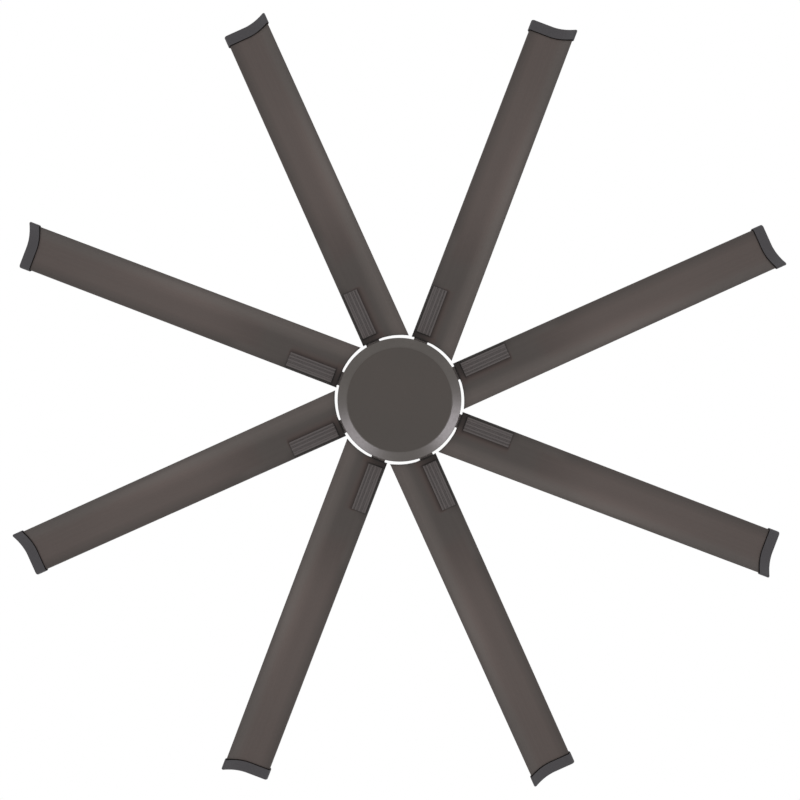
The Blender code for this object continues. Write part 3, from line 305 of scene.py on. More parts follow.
# Meshes


def finished(bm, name):
    """Mesh from a bmesh, with every face pointing out."""
    bmesh.ops.recalc_face_normals(bm, faces=bm.faces)
    mesh = bpy.data.meshes.new(name)
    bm.to_mesh(mesh)
    bm.free()
    return mesh


def eased(corners):
    """Closed outline from (x, y) corners, and (x, y, cut) ones that are rounded off over their cut."""
    outline = []
    for before, here, after in zip(corners[-1:] + corners[:-1], corners, corners[1:] + corners[:1]):
        point = Vector(here[:2])
        if len(here) == 2:
            outline.append(point)
            continue
        cut = here[2]
        back = (Vector(before[:2]) - point).normalized()
        on = (Vector(after[:2]) - point).normalized()
        outline.append(point + back * cut * EASE_REACH)
        for step in range(EASE_STEPS + 1):
            share = step / EASE_STEPS
            outline.append(point + back * cut * (1 - share) ** 2 + on * cut * share**2)
        outline.append(point + on * cut * EASE_REACH)
    return outline


def turned(name, corners, steps=TURN_STEPS):
    """Mesh turned round Z from (radius, height) corners, which are eased."""
    bm = bmesh.new()
    profile = eased(corners)
    points = [bm.verts.new((x, 0, z)) for x, z in profile]
    pairs = list(zip(points, points[1:]))
    if profile[0][0] or profile[-1][0]:
        pairs.append((points[-1], points[0]))
    edges = [bm.edges.new(pair) for pair in pairs]
    bmesh.ops.spin(bm, geom=points + edges, axis=(0, 0, 1), cent=(0, 0, 0), angle=2 * pi, steps=steps)
    bmesh.ops.remove_doubles(bm, verts=bm.verts, dist=WELD)
    return finished(bm, name)


def prism(name, outline, low, high):
    """Mesh of a flat (x, y) outline raised from one height to another."""
    bm = bmesh.new()
    floor = bm.faces.new([bm.verts.new((x, y, low)) for x, y in outline])
    raised = bmesh.ops.extrude_face_region(bm, geom=[floor])["geom"]
    tops = [item for item in raised if isinstance(item, bmesh.types.BMVert)]
    bmesh.ops.translate(bm, vec=(0, 0, high - low), verts=tops)
    return finished(bm, name)


def block(name, low, high):
    outline = [(low[0], low[1]), (high[0], low[1]), (high[0], high[1]), (low[0], high[1])]
    return prism(name, outline, low[2], high[2])


def arc(centre, radii, start, end, steps):
    """Points on a circle or an ellipse, from one angle to another."""
    turns = [start + (end - start) * step / steps for step in range(steps + 1)]
    return [(centre[0] + radii[0] * cos(turn), centre[1] + radii[1] * sin(turn)) for turn in turns]


def circle(radius, centre=(0.0, 0.0), steps=PIN_STEPS):
    return arc(centre, (radius, radius), 0, 2 * pi, steps)[:-1]


def rounded_rectangle(low, high, radius):
    """Outline of a rectangle with round corners, counterclockwise from its lower right one."""
    corners = [(high[0], low[1]), (high[0], high[1]), (low[0], high[1]), (low[0], low[1])]
    inward = [(-1, 1), (-1, -1), (1, -1), (1, 1)]
    outline = []
    for index, ((x, y), (right, up)) in enumerate(zip(corners, inward)):
        centre = (x + right * radius, y + up * radius)
        start = (index - 1) * pi / 2
        outline += arc(centre, (radius, radius), start, start + pi / 2, CORNER_STEPS)
    return outline


def along_x(mesh):
    """Turns a mesh so that its x, y and z run along y, z and x."""
    mesh.transform(Matrix(((0, 0, 1, 0), (1, 0, 0, 0), (0, 1, 0, 0), (0, 0, 0, 1))))
    return mesh


def cross_pin(radius, level, start, end):
    """Cylinder along X at a height."""
    return along_x(prism("cross_pin", circle(radius, (0, level)), start, end))


def together(name, meshes):
    """One mesh that holds several, as they lie."""
    bm = bmesh.new()
    for mesh in meshes:
        bm.from_mesh(mesh)
    return finished(bm, name)


def placed(name, data):
    """New object in the scene."""
    item = bpy.data.objects.new(name, data)
    bpy.context.scene.collection.objects.link(item)
    return item


def combined(mesh, operation, tools):
    """Mesh after a Boolean with each of the others."""
    for tool in tools:
        host = placed(mesh.name, mesh)
        other = placed(tool.name, tool)
        modifier = host.modifiers.new(operation, "BOOLEAN")
        modifier.operation = operation
        modifier.object = other
        graph = bpy.context.evaluated_depsgraph_get()
        result = bpy.data.meshes.new_from_object(host.evaluated_get(graph))
        result.name = mesh.name
        mesh = result
        for item in (host, other):
            bpy.data.objects.remove(item)
    return mesh


def joined(mesh, *tools):
    return combined(mesh, "UNION", tools)


def cut(mesh, *tools):
    return combined(mesh, "DIFFERENCE", tools)


def softened(mesh, width):
    """Rounds a mesh's sharp edges off by a small width."""
    bm = bmesh.new()
    bm.from_mesh(mesh)
    bmesh.ops.remove_doubles(bm, verts=bm.verts, dist=WELD)
    sharp = [edge for edge in bm.edges if edge.is_manifold and edge.calc_face_angle(0) > EASE_ANGLE]
    bmesh.ops.bevel(bm, geom=sharp, offset=width, segments=2, profile=0.5, affect="EDGES", clamp_overlap=True)
    return finished(bm, mesh.name)


def show(node, mesh, slot, body, angle=0.0, detail="fine", finish=None):
    """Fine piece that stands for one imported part, or for a detail of it, and rides on its body."""
    piece = placed(f"{node}_{detail}", mesh)
    piece.rotation_euler.z = angle
    if not mesh.materials:
        mesh.materials.append(FINISHES[finish or slot])
        mesh.shade_smooth()
        mesh.set_sharp_from_angle(angle=SHARP)
    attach(piece, body)
    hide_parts(node)
    return piece


# The blade and its tip cap


def blade_rows(lead, trail):
    """The section as (y, low z, high z) rows from nose to tail."""
    nose = BLADE_THICKNESS / 2
    tail = TAIL_THICKNESS / 2
    over = arc((nose - lead, nose), (nose, nose), pi, pi / 2, NOSE_STEPS)
    rows = [(y, 2 * nose - high, high) for y, high in over]
    rows.append((-lead + nose + GUARD, 0.0, BLADE_THICKNESS))
    rows.append((BLADE_FLAT - GUARD, 0.0, BLADE_THICKNESS))
    run = trail - tail - BLADE_FLAT
    for step in range(DROP_STEPS + 1):
        share = step / DROP_STEPS
        low = -BLADE_DROP * share**2
        fade = min(share / THICK_END_SHARE, 1.0)
        extra = (BLADE_THICKNESS - TAIL_THICKNESS) * (1 - fade**2 * (3 - 2 * fade))
        rows.append((BLADE_FLAT + run * share, low, low + TAIL_THICKNESS + extra))
    middle = tail - BLADE_DROP
    slope = 2 * BLADE_DROP / run
    for step in range(1, TAIL_STEPS + 1):
        turn = pi / 2 * step / TAIL_STEPS
        level = middle - slope * tail * sin(turn)
        rows.append((trail - tail + tail * sin(turn), level - tail * cos(turn), level + tail * cos(turn)))
    rows[-1] = (trail, middle - slope * tail, middle - slope * tail)
    return rows


def section_at(reach):
    """The section's closed outline at a distance along the blade: the underside, then back over the top."""
    share = (reach - ROOT_RADIUS) / (TIP_REACH - ROOT_RADIUS)
    lead = LEAD_AT_ROOT + (LEAD_AT_TIP - LEAD_AT_ROOT) * share
    trail = TRAIL_AT_ROOT + (TRAIL_AT_TIP - TRAIL_AT_ROOT) * share
    rows = blade_rows(lead, trail)
    under = [Vector((y, low)) for y, low, high in rows]
    over = [Vector((y, high)) for y, low, high in rows[-2:0:-1]]
    return under + over


def grown(loop, distance):
    """A closed outline moved outwards by a distance."""
    moved = []
    for before, here, after in zip(loop[-1:] + loop[:-1], loop, loop[1:] + loop[:1]):
        first = (here - before).normalized()
        second = (after - here).normalized()
        outward = Vector((first.y + second.y, -first.x - second.x)).normalized()
        spread = outward.dot(Vector((first.y, -first.x)))
        moved.append(here + outward * (distance / spread))
    return moved


def bridged(bm, loops):
    """Rings of vertices on closed loops of as many points, with quads from each ring to the next."""
    rings = [[bm.verts.new(point) for point in loop] for loop in loops]
    for one, other in zip(rings, rings[1:]):
        for index, start in enumerate(one):
            following = (index + 1) % len(one)
            bm.faces.new((start, one[following], other[following], other[index]))
    return rings


def lofted(name, loops):
    """Mesh through closed loops, filled at both ends."""
    bm = bmesh.new()
    rings = bridged(bm, loops)
    bm.faces.new(rings[0])
    bm.faces.new(rings[-1])
    return finished(bm, name)


def studs(radius, low, high, steps=PIN_STEPS):
    """Upright cylinders at the studs, between two heights above the blade's underside."""
    made = []
    for share in STUD_SHARES:
        centre = (PLATE_START + PLATE_LENGTH * share, PLATE_OFFSET)
        made.append(prism("stud", circle(radius, centre, steps), BLADE_LEVEL + low, BLADE_LEVEL + high))
    return together("studs", made)


def root_at(point, past):
    """Where a point of the section is cut off at the root, or a little past that, along the blade."""
    radius = ROOT_RADIUS + past - ROOT_TUCK * max(-point.y / BLADE_DROP, 0.0)
    return sqrt(radius**2 - point.x**2)


def blade_mesh():
    """Hollow extrusion with two webs, its root on a circle round the axis, and three stud holes."""
    loops = []
    for reach, at_root in ((ROOT_RADIUS, True), (ROOT_RADIUS + GUARD, True), (BLADE_END, False)):
        section = section_at(reach)
        ends = [root_at(point, reach - ROOT_RADIUS) if at_root else reach for point in section]
        loops.append([(x, p.x, BLADE_LEVEL + p.y) for x, p in zip(ends, section)])
    bm = bmesh.new()
    rings = bridged(bm, loops)
    for ring in (rings[0], rings[-1]):
        count = len(ring)
        for index in range(1, count // 2):
            corners = (ring[index], ring[index + 1], ring[-index - 1], ring[-index])
            bm.faces.new(list(dict.fromkeys(corners)))
        bm.faces.new((ring[0], ring[1], ring[-1]))
    blade = finished(bm, "blade")
    start = -min(LEAD_AT_ROOT, LEAD_AT_TIP) + BLADE_THICKNESS / 2
    width = BLADE_FLAT - start
    low = BLADE_LEVEL + BLADE_WALL
    high = BLADE_LEVEL + BLADE_THICKNESS - BLADE_WALL
    channels = []
    for first, last in zip((0.0, *WEB_SHARES), (*WEB_SHARES, 1.0)):
        near = start + width * first + (BLADE_WALL / 2 if first else 0)
        far = start + width * last - (BLADE_WALL / 2 if last < 1 else 0)
        channels.append(block("channel", (0, near, low), (BLADE_END + OVERRUN, far, high)))
    holes = studs(STUD_RADIUS + SEAT_GAP, -OVERRUN, BLADE_THICKNESS + OVERRUN)
    return cut(blade, together("channels", channels), holes)


def tip_cap_mesh():
    """Moulded sleeve over the blade's end, with rounded outer edges."""
    section = section_at(CAP_START)
    third = CAP_LIP / 3
    centre = (TIP_REACH - CAP_EDGE_RADIUS, CAP_PROUD - CAP_EDGE_RADIUS)
    stages = [
        (TIP_REACH - CAP_END_WALL, SEAT_GAP),
        (CAP_START + CAP_FLARE_DEPTH, SEAT_GAP),
        (CAP_START + third, CAP_FLARE),
        (CAP_START, CAP_FLARE + third),
        (CAP_START, CAP_PROUD - CAP_LIP),
        (CAP_START + third, CAP_PROUD - third),
        (CAP_START + CAP_LIP, CAP_PROUD),
        (CAP_START + 2 * CAP_LIP, CAP_PROUD),
        (centre[0] - CAP_LIP, CAP_PROUD),
        *arc(centre, (CAP_EDGE_RADIUS, CAP_EDGE_RADIUS), pi / 2, 0, CAP_EDGE_STEPS),
        (TIP_REACH, SEAT_GAP),
    ]
    loops = []
    for reach, distance in stages:
        loops.append([(reach, p.x, BLADE_LEVEL + p.y) for p in grown(section, distance)])
    return lofted("tip_cap", loops)


# The clamp plate under the blade and the arm over it


def clamp_plate_mesh():
    """Plate with round-bottomed lengthwise grooves below and three studs above."""
    first = PLATE_OFFSET - PLATE_WIDTH / 2
    top = BLADE_LEVEL - SEAT_GAP
    crest = top - PLATE_BASE - RIB_HEIGHT
    outline = [(first, top), (first, crest)]
    for start, end, depth in GROOVE_SHARES:
        for step in range(GROOVE_STEPS + 1):
            share = step / GROOVE_STEPS
            inward = min((1 - abs(2 * share - 1)) / GROOVE_SLOPE_SHARE, 1.0)
            rise = RIB_HEIGHT * depth * sin(pi / 2 * inward) ** 2
            outline.append((first + PLATE_WIDTH * (start + (end - start) * share), crest + rise))
    outline += [(first + PLATE_WIDTH, crest), (first + PLATE_WIDTH, top)]
    plate = softened(along_x(prism("clamp_plate", outline, PLATE_START, PLATE_END)), PLATE_EASE)
    reach = -SEAT_GAP - PLATE_BASE / 2
    return joined(plate, studs(STUD_RADIUS, reach, BLADE_THICKNESS))


def arm_mesh():
    """Flat bar with a stiffening rib, nuts on the studs and bolt heads under the rotor's base."""
    low = (ARM_START, PLATE_OFFSET - ARM_WIDTH / 2)
    high = (PLATE_END, PLATE_OFFSET + ARM_WIDTH / 2)
    arm = prism("blade_arm", rounded_rectangle(low, high, ARM_CORNER), ARM_LOW, ARM_TOP)
    half = ARM_RIB_WIDTH / 2
    rib_low = (ARM_SEAT_RADIUS + ARM_CORNER, PLATE_OFFSET - half)
    rib_high = (PLATE_END - ARM_CORNER, PLATE_OFFSET + half)
    outline = rounded_rectangle(rib_low, rib_high, half * ROUND_END_SHARE)
    rib = prism("rib", outline, ARM_TOP - ARM_THICKNESS / 2, ARM_TOP + ARM_RIB_HEIGHT)
    arm = softened(joined(arm, rib), ARM_EASE)
    above = BLADE_THICKNESS + SEAT_GAP + ARM_THICKNESS / 2
    rib_top = BLADE_THICKNESS + SEAT_GAP + ARM_THICKNESS + ARM_RIB_HEIGHT
    nuts = softened(studs(NUT_RADIUS, above, rib_top + NUT_HEIGHT - STUD_TIP, HEX_STEPS), PLATE_EASE)
    tips = softened(studs(STUD_RADIUS, above, rib_top + NUT_HEIGHT), SHEET_EASE)
    feet = []
    foot_low = ARM_LOW - NUT_HEIGHT
    for share in FOOT_SHARES:
        centre = (ARM_START + ARM_SEAT * share, PLATE_OFFSET)
        foot = prism("foot", circle(NUT_RADIUS, centre), foot_low, ARM_LOW + ARM_THICKNESS / 2)
        socket = prism("socket", circle(NUT_RADIUS / 2, centre, HEX_STEPS), foot_low - OVERRUN, ARM_LOW)
        feet.append(cut(softened(foot, PLATE_EASE), socket))
    return joined(arm, nuts, tips, together("feet", feet))


def add_blades():
    kinds = (
        ("blade", blade_mesh(), "blade_paint"),
        ("tip_cap", tip_cap_mesh(), "cap_plastic"),
        ("clamp_plate", clamp_plate_mesh(), "plate_paint"),
        ("blade_arm", arm_mesh(), "arm_paint"),
    )
    for index in range(BLADE_COUNT):
        angle = FIRST_BLADE_ANGLE + 2 * pi * index / BLADE_COUNT
        for name, mesh, slot in kinds:
            show(f"{name}_{index + 1}", mesh, slot, "rotor", angle)


# Covers round the motor


def cap_face_mesh():
    """Flat face of the bottom cap, with a shallow ring moulded inside for stiffness."""
    top = CAP_LOW + COVER_WALL
    inner = CAP_FACE_RADIUS * CAP_RING_SHARE - BEAD_SIZE / 2
    outer = inner + BEAD_SIZE
    corners = [
        (0, CAP_LOW),
        (CAP_FACE_RADIUS, CAP_LOW),
        (CAP_FACE_RADIUS, top),
        (outer, top),
        (outer, top + BEAD_SIZE, RIM_CUT),
        (inner, top + BEAD_SIZE, RIM_CUT),
        (inner, top),
        (0, top),
    ]
    return turned("cap_face", corners)


def cap_bevel_mesh():
    """Bevel of the bottom cap, rounded into the face and into the wall."""
    face = CAP_RADIUS - BEVEL_WIDTH
    inside = CAP_RADIUS - COVER_WALL
    top = CAP_LOW + BEVEL_HEIGHT
    slant = hypot(BEVEL_WIDTH, BEVEL_HEIGHT)
    corner = COVER_WALL * (slant - BEVEL_HEIGHT) / BEVEL_WIDTH
    crease = COVER_WALL * (slant - BEVEL_WIDTH) / BEVEL_HEIGHT
    corners = [
        (CAP_FACE_RADIUS, CAP_LOW),
        (face, CAP_LOW, BEVEL_CUT),
        (CAP_RADIUS, top, BEVEL_CUT),
        (CAP_RADIUS, CAP_WALL_LOW),
        (inside, CAP_WALL_LOW),
        (inside, top + crease, RIM_CUT),
        (face - corner, CAP_LOW + COVER_WALL, RIM_CUT),
        (CAP_FACE_RADIUS, CAP_LOW + COVER_WALL),
    ]
    return turned("cap_bevel", corners)


def cap_wall_mesh():
    """Upright wall of the bottom cap, open above, with a bead inside that snaps over the lower plate."""
    inside = CAP_RADIUS - COVER_WALL
    bead = CAP_HIGH - BEAD_DEPTH
    corners = [
        (CAP_RADIUS, CAP_WALL_LOW),
        (CAP_RADIUS, CAP_HIGH, RIM_CUT),
        (inside, CAP_HIGH, RIM_CUT),
        (inside, bead + BEAD_SIZE),
        (inside - BEAD_SIZE, bead, RIM_CUT),
        (inside - BEAD_SIZE, bead - BEAD_SIZE, RIM_CUT),
        (inside, bead - BEAD_SIZE),
        (inside, CAP_WALL_LOW),
    ]
    return turned("cap_wall", corners)


def dome_mesh(node, inner, crown, skirt, wall):
    """Turned shell with a flat crown, a round shoulder and a skirt, with its hole in the crown."""
    low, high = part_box(node)
    outer = high.x
    shoulder = low.z + skirt
    over = arc((crown, shoulder), (outer - crown, high.z - shoulder), pi / 2, 0, ARC_STEPS)
    under = arc((crown, shoulder), (outer - crown - wall, high.z - shoulder - wall), 0, pi / 2, ARC_STEPS)
    rim = [(outer, low.z, RIM_CUT), (outer - wall, low.z, RIM_CUT)]
    corners = [(inner, high.z, RIM_CUT), *over, *rim, *under, (inner, high.z - wall, RIM_CUT)]
    return turned(node, corners)


def canopy_mesh():
    """Cover over the bracket, open to the ceiling, with a throat that the rod swings in."""
    low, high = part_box("canopy")
    centre = (CANOPY_RADIUS - CANOPY_SHOULDER, low.z + CANOPY_SHOULDER)
    inset = CANOPY_SHOULDER - THIN_WALL
    outer = arc(centre, (CANOPY_SHOULDER, CANOPY_SHOULDER), 0, -pi / 2, ARC_STEPS)
    inner = arc(centre, (inset, inset), -pi / 2, 0, ARC_STEPS)
    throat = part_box("canopy_trim")[1].x - TRIM_WIDTH
    corners = [(CANOPY_RADIUS - THIN_WALL, high.z, RIM_CUT), (CANOPY_RADIUS, high.z, RIM_CUT)] + outer
    corners += [(throat, low.z, RIM_CUT), (throat, low.z + THIN_WALL, RIM_CUT)] + inner
    return cut(turned("canopy", corners), together("holes", lug_holes()))


def ring_mesh(node, width, ease, steps=TURN_STEPS):
    """Ring of a given width, with eased edges, that fills its node's box."""
    low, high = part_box(node)
    radii = (high.x - width, high.x, high.x, high.x - width)
    heights = (high.z, high.z, low.z, low.z)
    return turned(node, [(radius, height, ease) for radius, height in zip(radii, heights)], steps)


def lower_plate_mesh():
    low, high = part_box("lower_plate")
    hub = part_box("lower_bearing_inner_race")[0].z - SEAT_GAP
    top = CAP_HIGH - BEAD_DEPTH - BEAD_SIZE - SEAT_GAP
    race = SHAFT_FIT + RACE_WIDTH
    corners = [
        (SHAFT_FIT, hub),
        (race, hub, RIM_CUT),
        (race, top, RIM_CUT),
        (high.x, top, RIM_CUT),
        (high.x, low.z, RIM_CUT),
        (SHAFT_FIT, low.z, RIM_CUT),
    ]
    return turned("lower_plate", corners)


def add_covers():
    """Shows the covers that don't turn, and gives back the bevel, which has lamps of its own."""
    body = "hanging_motor"
    inner = YOKE_RADIUS + SEAT_GAP
    housing = dome_mesh("upper_housing", inner, HOUSING_CROWN_RADIUS, HOUSING_SKIRT, COVER_WALL)
    show("upper_housing", housing, "cover_paint", body)
    low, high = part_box("coupling_cover")
    skirt = high.z - COUPLING_SHOULDER - low.z
    inner = ROD_RADIUS + SEAT_GAP
    coupling = dome_mesh("coupling_cover", inner, high.x - COUPLING_SHOULDER, skirt, THIN_WALL)
    show("coupling_cover", coupling, "housing_paint", body)
    show("bottom_cap", cap_face_mesh(), "cover_paint", body)
    show("bottom_cap", cap_wall_mesh(), "cover_paint", body, detail="wall")
    # The bevel takes a lighter, fully metallic copy of the cover's paint, which is painted light.
    bevel = show("bottom_cap", cap_bevel_mesh(), "cover_paint", body, detail="bevel", finish="bevel_lit_paint")
    show("lower_plate", lower_plate_mesh(), "motor_metal", body)
    return bevel


# Rod and hanger ball


def hanger_pin_hole(reach):
    """Cylinder along Y round the hanger pin."""
    hole = cross_pin(HANGER_PIN_RADIUS + SEAT_GAP, BALL_TOP, -reach, reach)
    hole.transform(Matrix.Rotation(pi / 2, 4, "Z"))
    return hole


def downrod_mesh():
    """Pipe with cross holes for the hanger pin and the yoke pin."""
    rod = ring_mesh("downrod", ROD_WALL, SHEET_EASE, ROD_STEPS)
    reach = ROD_RADIUS + OVERRUN
    yoke_hole = cross_pin(YOKE_PIN_RADIUS + SEAT_GAP, YOKE_PIN_LEVEL, -reach, reach)
    return cut(rod, yoke_hole, hanger_pin_hole(reach))


def hanger_ball_mesh():
    """Ball with flat ends, a bore for the rod, a groove for the pin and a slot for the bracket's stub."""
    rise = BALL_TOP - BALL_LEVEL
    bore = ROD_RADIUS + SEAT_GAP
    edge = asin(rise / BALL_RADIUS)
    side = arc((0, BALL_LEVEL), (BALL_RADIUS, BALL_RADIUS), -edge, edge, 2 * ARC_STEPS)
    corners = [(bore, BALL_LEVEL - rise, RIM_CUT), *side, (bore, BALL_TOP, RIM_CUT)]
    half = STUB_RADIUS + SLOT_CLEARANCE
    slot_low = (BALL_RADIUS - SLOT_DEPTH, -half, BALL_LEVEL - SLOT_BELOW)
    slot_high = (BALL_RADIUS + OVERRUN, half, BALL_TOP + OVERRUN)
    slot = block("slot", slot_low, slot_high)
    return cut(turned("hanger_ball", corners), hanger_pin_hole(BALL_RADIUS), slot)


def add_rod():
    show("downrod", downrod_mesh(), "housing_paint", "hanging_motor")
    show("hanger_ball", hanger_ball_mesh(), "ball_plastic", "hanging_motor")


# Ceiling bracket, canopy and receiver


def cradle_mesh():
    """Ring under the ball with a sloping seat, open on the +Y side so that the rod can be hooked in."""
    seat_level = BALL_LEVEL - sqrt(BALL_RADIUS**2 - SEAT_RADIUS**2)
    slope = SEAT_RADIUS / (BALL_LEVEL - seat_level)
    seat = SEAT_RADIUS + BALL_GAP * BALL_RADIUS / (BALL_LEVEL - seat_level)
    top = seat_level + SEAT_ABOVE
    foot = seat_level - SEAT_BELOW
    mouth = seat - SEAT_BELOW / slope
    crest = seat + SEAT_ABOVE / slope
    radius = hypot(LEG_INSIDE + LEG_THICKNESS, LEG_HALF_WIDTH) + CRADLE_MARGIN
    corners = [
        (mouth, CRADLE_LOW, SHEET_EASE),
        (mouth, foot),
        (crest, top, SHEET_EASE),
        (crest + SEAT_WIDTH, top, SHEET_EASE),
        (crest + SEAT_WIDTH, CRADLE_LOW + CRADLE_THICKNESS),
        (radius, CRADLE_LOW + CRADLE_THICKNESS, SHEET_EASE),
        (radius, CRADLE_LOW, SHEET_EASE),
    ]
    half = ROD_RADIUS + MOUTH_MARGIN
    way_in = block("way_in", (-half, 0, CRADLE_LOW - OVERRUN), (half, radius + OVERRUN, top + OVERRUN))
    return cut(turned("cradle", corners), way_in)


def lug_holes():
    """Cylinders along X for the screws, through both lugs and the canopy's wall."""
    start = BRACKET_END - BRACKET_THICKNESS - OVERRUN
    reach = CANOPY_RADIUS + OVERRUN
    radius = CANOPY_SCREW_RADIUS + SEAT_GAP
    spans = ((-reach, -start), (start, reach))
    return [cross_pin(radius, -LUG_SCREW_DEPTH, near, far) for near, far in spans]


def bracket_mesh():
    """Ceiling plate with two legs, the cradle, two lugs and the stub that keeps the ball from turning."""
    end = BRACKET_END
    half = BRACKET_HALF_WIDTH
    outline = rounded_rectangle((-end, -half), (end, half), BRACKET_CORNER)
    plate = prism("ceiling_bracket", outline, -BRACKET_THICKNESS, 0)
    inside = BRACKET_THICKNESS / 2
    leg_low = CRADLE_LOW + CRADLE_THICKNESS / 2
    lug_face = end - BRACKET_THICKNESS
    sides = []
    slots = []
    centre = (LEG_INSIDE + LEG_THICKNESS + lug_face) / 2
    for side in (-1, 1):
        near, far = sorted((side * LEG_INSIDE, side * (LEG_INSIDE + LEG_THICKNESS)))
        sides.append(block("leg", (near, -LEG_HALF_WIDTH, leg_low), (far, LEG_HALF_WIDTH, -inside)))
        near, far = sorted((side * lug_face, side * (end - inside / 2)))
        sides.append(block("lug", (near, -LUG_HALF_WIDTH, -LUG_HEIGHT), (far, LUG_HALF_WIDTH, -inside)))
        slot_low = (side * centre - CEILING_SLOT_LENGTH / 2, -CEILING_SLOT_RADIUS)
        slot_high = (side * centre + CEILING_SLOT_LENGTH / 2, CEILING_SLOT_RADIUS)
        outline = rounded_rectangle(slot_low, slot_high, CEILING_SLOT_RADIUS * ROUND_END_SHARE)
        slots.append(prism("slot", outline, -BRACKET_THICKNESS - OVERRUN, OVERRUN))
    stub = cross_pin(STUB_RADIUS, BALL_LEVEL, BALL_RADIUS - STUB_REACH, LEG_INSIDE + LEG_THICKNESS / 2)
    bracket = softened(joined(plate, together("sides", sides)), SHEET_EASE)
    bracket = joined(bracket, cradle_mesh(), stub)
    return cut(bracket, together("cuts", slots + lug_holes()))


def canopy_screw_mesh(side):
    """Screw through the canopy's wall into the bracket's lug, with a cross recess in its round head."""
    start = BRACKET_END - BRACKET_THICKNESS - OVERRUN / 2
    head_start = CANOPY_RADIUS + SEAT_GAP
    head_end = head_start + SCREW_HEAD_HEIGHT
    corners = [
        (0, head_start),
        (CANOPY_SCREW_HEAD, head_start),
        (CANOPY_SCREW_HEAD, head_end, SCREW_HEAD_CUT),
        (0, head_end),
    ]
    head = turned("head", corners, ROD_STEPS)
    shank = prism("shank", circle(CANOPY_SCREW_RADIUS), start, head_start + SCREW_HEAD_HEIGHT / 2)
    screw = joined(head, shank)
    floor = head_end - RECESS_DEPTH
    for x, y in ((RECESS_REACH, RECESS_HALF_WIDTH), (RECESS_HALF_WIDTH, RECESS_REACH)):
        screw = cut(screw, block("recess", (-x, -y, floor), (x, y, head_end + OVERRUN)))
    screw = along_x(screw)
    screw.transform(Matrix.Translation((0, 0, -LUG_SCREW_DEPTH)))
    if side < 0:
        screw.transform(Matrix.Rotation(pi, 4, "Z"))
    return screw


def receiver_mesh():
    """Two-part moulded case with eased edges and a seam round its middle."""
    low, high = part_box("receiver")
    third = RECEIVER_EASE / 3
    seam = (low.z + high.z - SEAM_WIDTH) / 2
    half = [
        (low.z, RECEIVER_EASE),
        (low.z + third, third),
        (low.z + RECEIVER_EASE, 0),
        (seam, 0),
        (seam, SEAM_DEPTH),
    ]
    mirrored = [(low.z + high.z - level, inset) for level, inset in reversed(half)]
    loops = []
    for level, inset in half + mirrored:
        near = (low.x + inset, low.y + inset)
        far = (high.x - inset, high.y - inset)
        loops.append([(x, y, level) for x, y in rounded_rectangle(near, far, RECEIVER_CORNER - inset)])
    return lofted("receiver", loops)


def add_ceiling_side():
    body = "ceiling_side"
    show("ceiling_bracket", bracket_mesh(), "cast_steel", body)
    show("canopy", canopy_mesh(), "housing_paint", body)
    show("canopy_trim", ring_mesh("canopy_trim", TRIM_WIDTH, RIM_CUT), "housing_paint", body)
    show("receiver", receiver_mesh(), "receiver_plastic", body)
    show("canopy_screw_right", canopy_screw_mesh(1), "bright_steel", body)
    show("canopy_screw_left", canopy_screw_mesh(-1), "bright_steel", body)


# Finishes


def fill(tree, node, inputs):
    """Sets a node's inputs, or links those that another node gives."""
    for key, value in inputs.items():
        if isinstance(value, bpy.types.NodeSocket):
            tree.links.new(value, node.inputs[key])
        else:
            node.inputs[key].default_value = value


def add(tree, kind, inputs, **settings):
    """Shader node with its settings, and with values or links for its inputs."""
    node = tree.nodes.new(kind)
    for key, value in settings.items():
        setattr(node, key, value)
    fill(tree, node, inputs)
    return node


def new_finish(name):
    """Node tree and shader of a new material, which is kept by its name."""
    FINISHES[name] = bpy.data.materials.new(name)
    FINISHES[name].use_nodes = True
    tree = FINISHES[name].node_tree
    return tree, tree.nodes["Principled BSDF"]


def opaque(colour):
    return (*colour, 1.0)


def number(tree, operation, first, second):
    return add(tree, "ShaderNodeMath", {0: first, 1: second}, operation=operation).outputs[0]


def product(tree, first, *others):
    for other in others:
        first = number(tree, "MULTIPLY", first, other)
    return first


def vector(tree, operation, first, second=(0, 0, 0)):
    return add(tree, "ShaderNodeVectorMath", {0: first, 1: second}, operation=operation).outputs[0]


def length_of(tree, place):
    return add(tree, "ShaderNodeVectorMath", {0: place}, operation="LENGTH").outputs["Value"]


def place_of(tree, stretch=(1.0, 1.0, 1.0)):
    """The piece's own coordinates, drawn out along each axis."""
    own = add(tree, "ShaderNodeTexCoord", {}).outputs["Object"]
    return vector(tree, "MULTIPLY", own, stretch)


def noise(tree, place, scale, detail=3.0, roughness=0.5):
    inputs = {"Vector": place, "Scale": scale, "Detail": detail, "Roughness": roughness}
    return add(tree, "ShaderNodeTexNoise", inputs).outputs[0]


def ranged(tree, value, source, target, **settings):
    """A number carried over from one range to another."""
    inputs = {0: value, 1: source[0], 2: source[1], 3: target[0], 4: target[1]}
    return add(tree, "ShaderNodeMapRange", inputs, **settings).outputs[0]


def eased_between(tree, value, source, target):
    """A number that goes softly from one target value to the other while another crosses its source range."""
    return ranged(tree, value, source, target, interpolation_type="SMOOTHSTEP")


def scaled(tree, amount, full):
    """Factor that goes from one to its full value as the amount grows from zero to one."""
    return ranged(tree, amount, UNIT, (1.0, full))


def mixed(tree, factor, first, second, blend="MIX"):
    inputs = {0: factor, 6: first, 7: second}
    return add(tree, "ShaderNodeMix", inputs, data_type="RGBA", blend_type=blend).outputs[2]


def shaded(tree, colour, shade):
    return mixed(tree, 1.0, colour, shade, "MULTIPLY")


def drifting(tree, pattern, tints, span=NOISE_SPAN):
    """Colour that drifts between two tints with a pattern."""
    return mixed(tree, ranged(tree, pattern, span, UNIT), opaque(tints[0]), opaque(tints[1]))


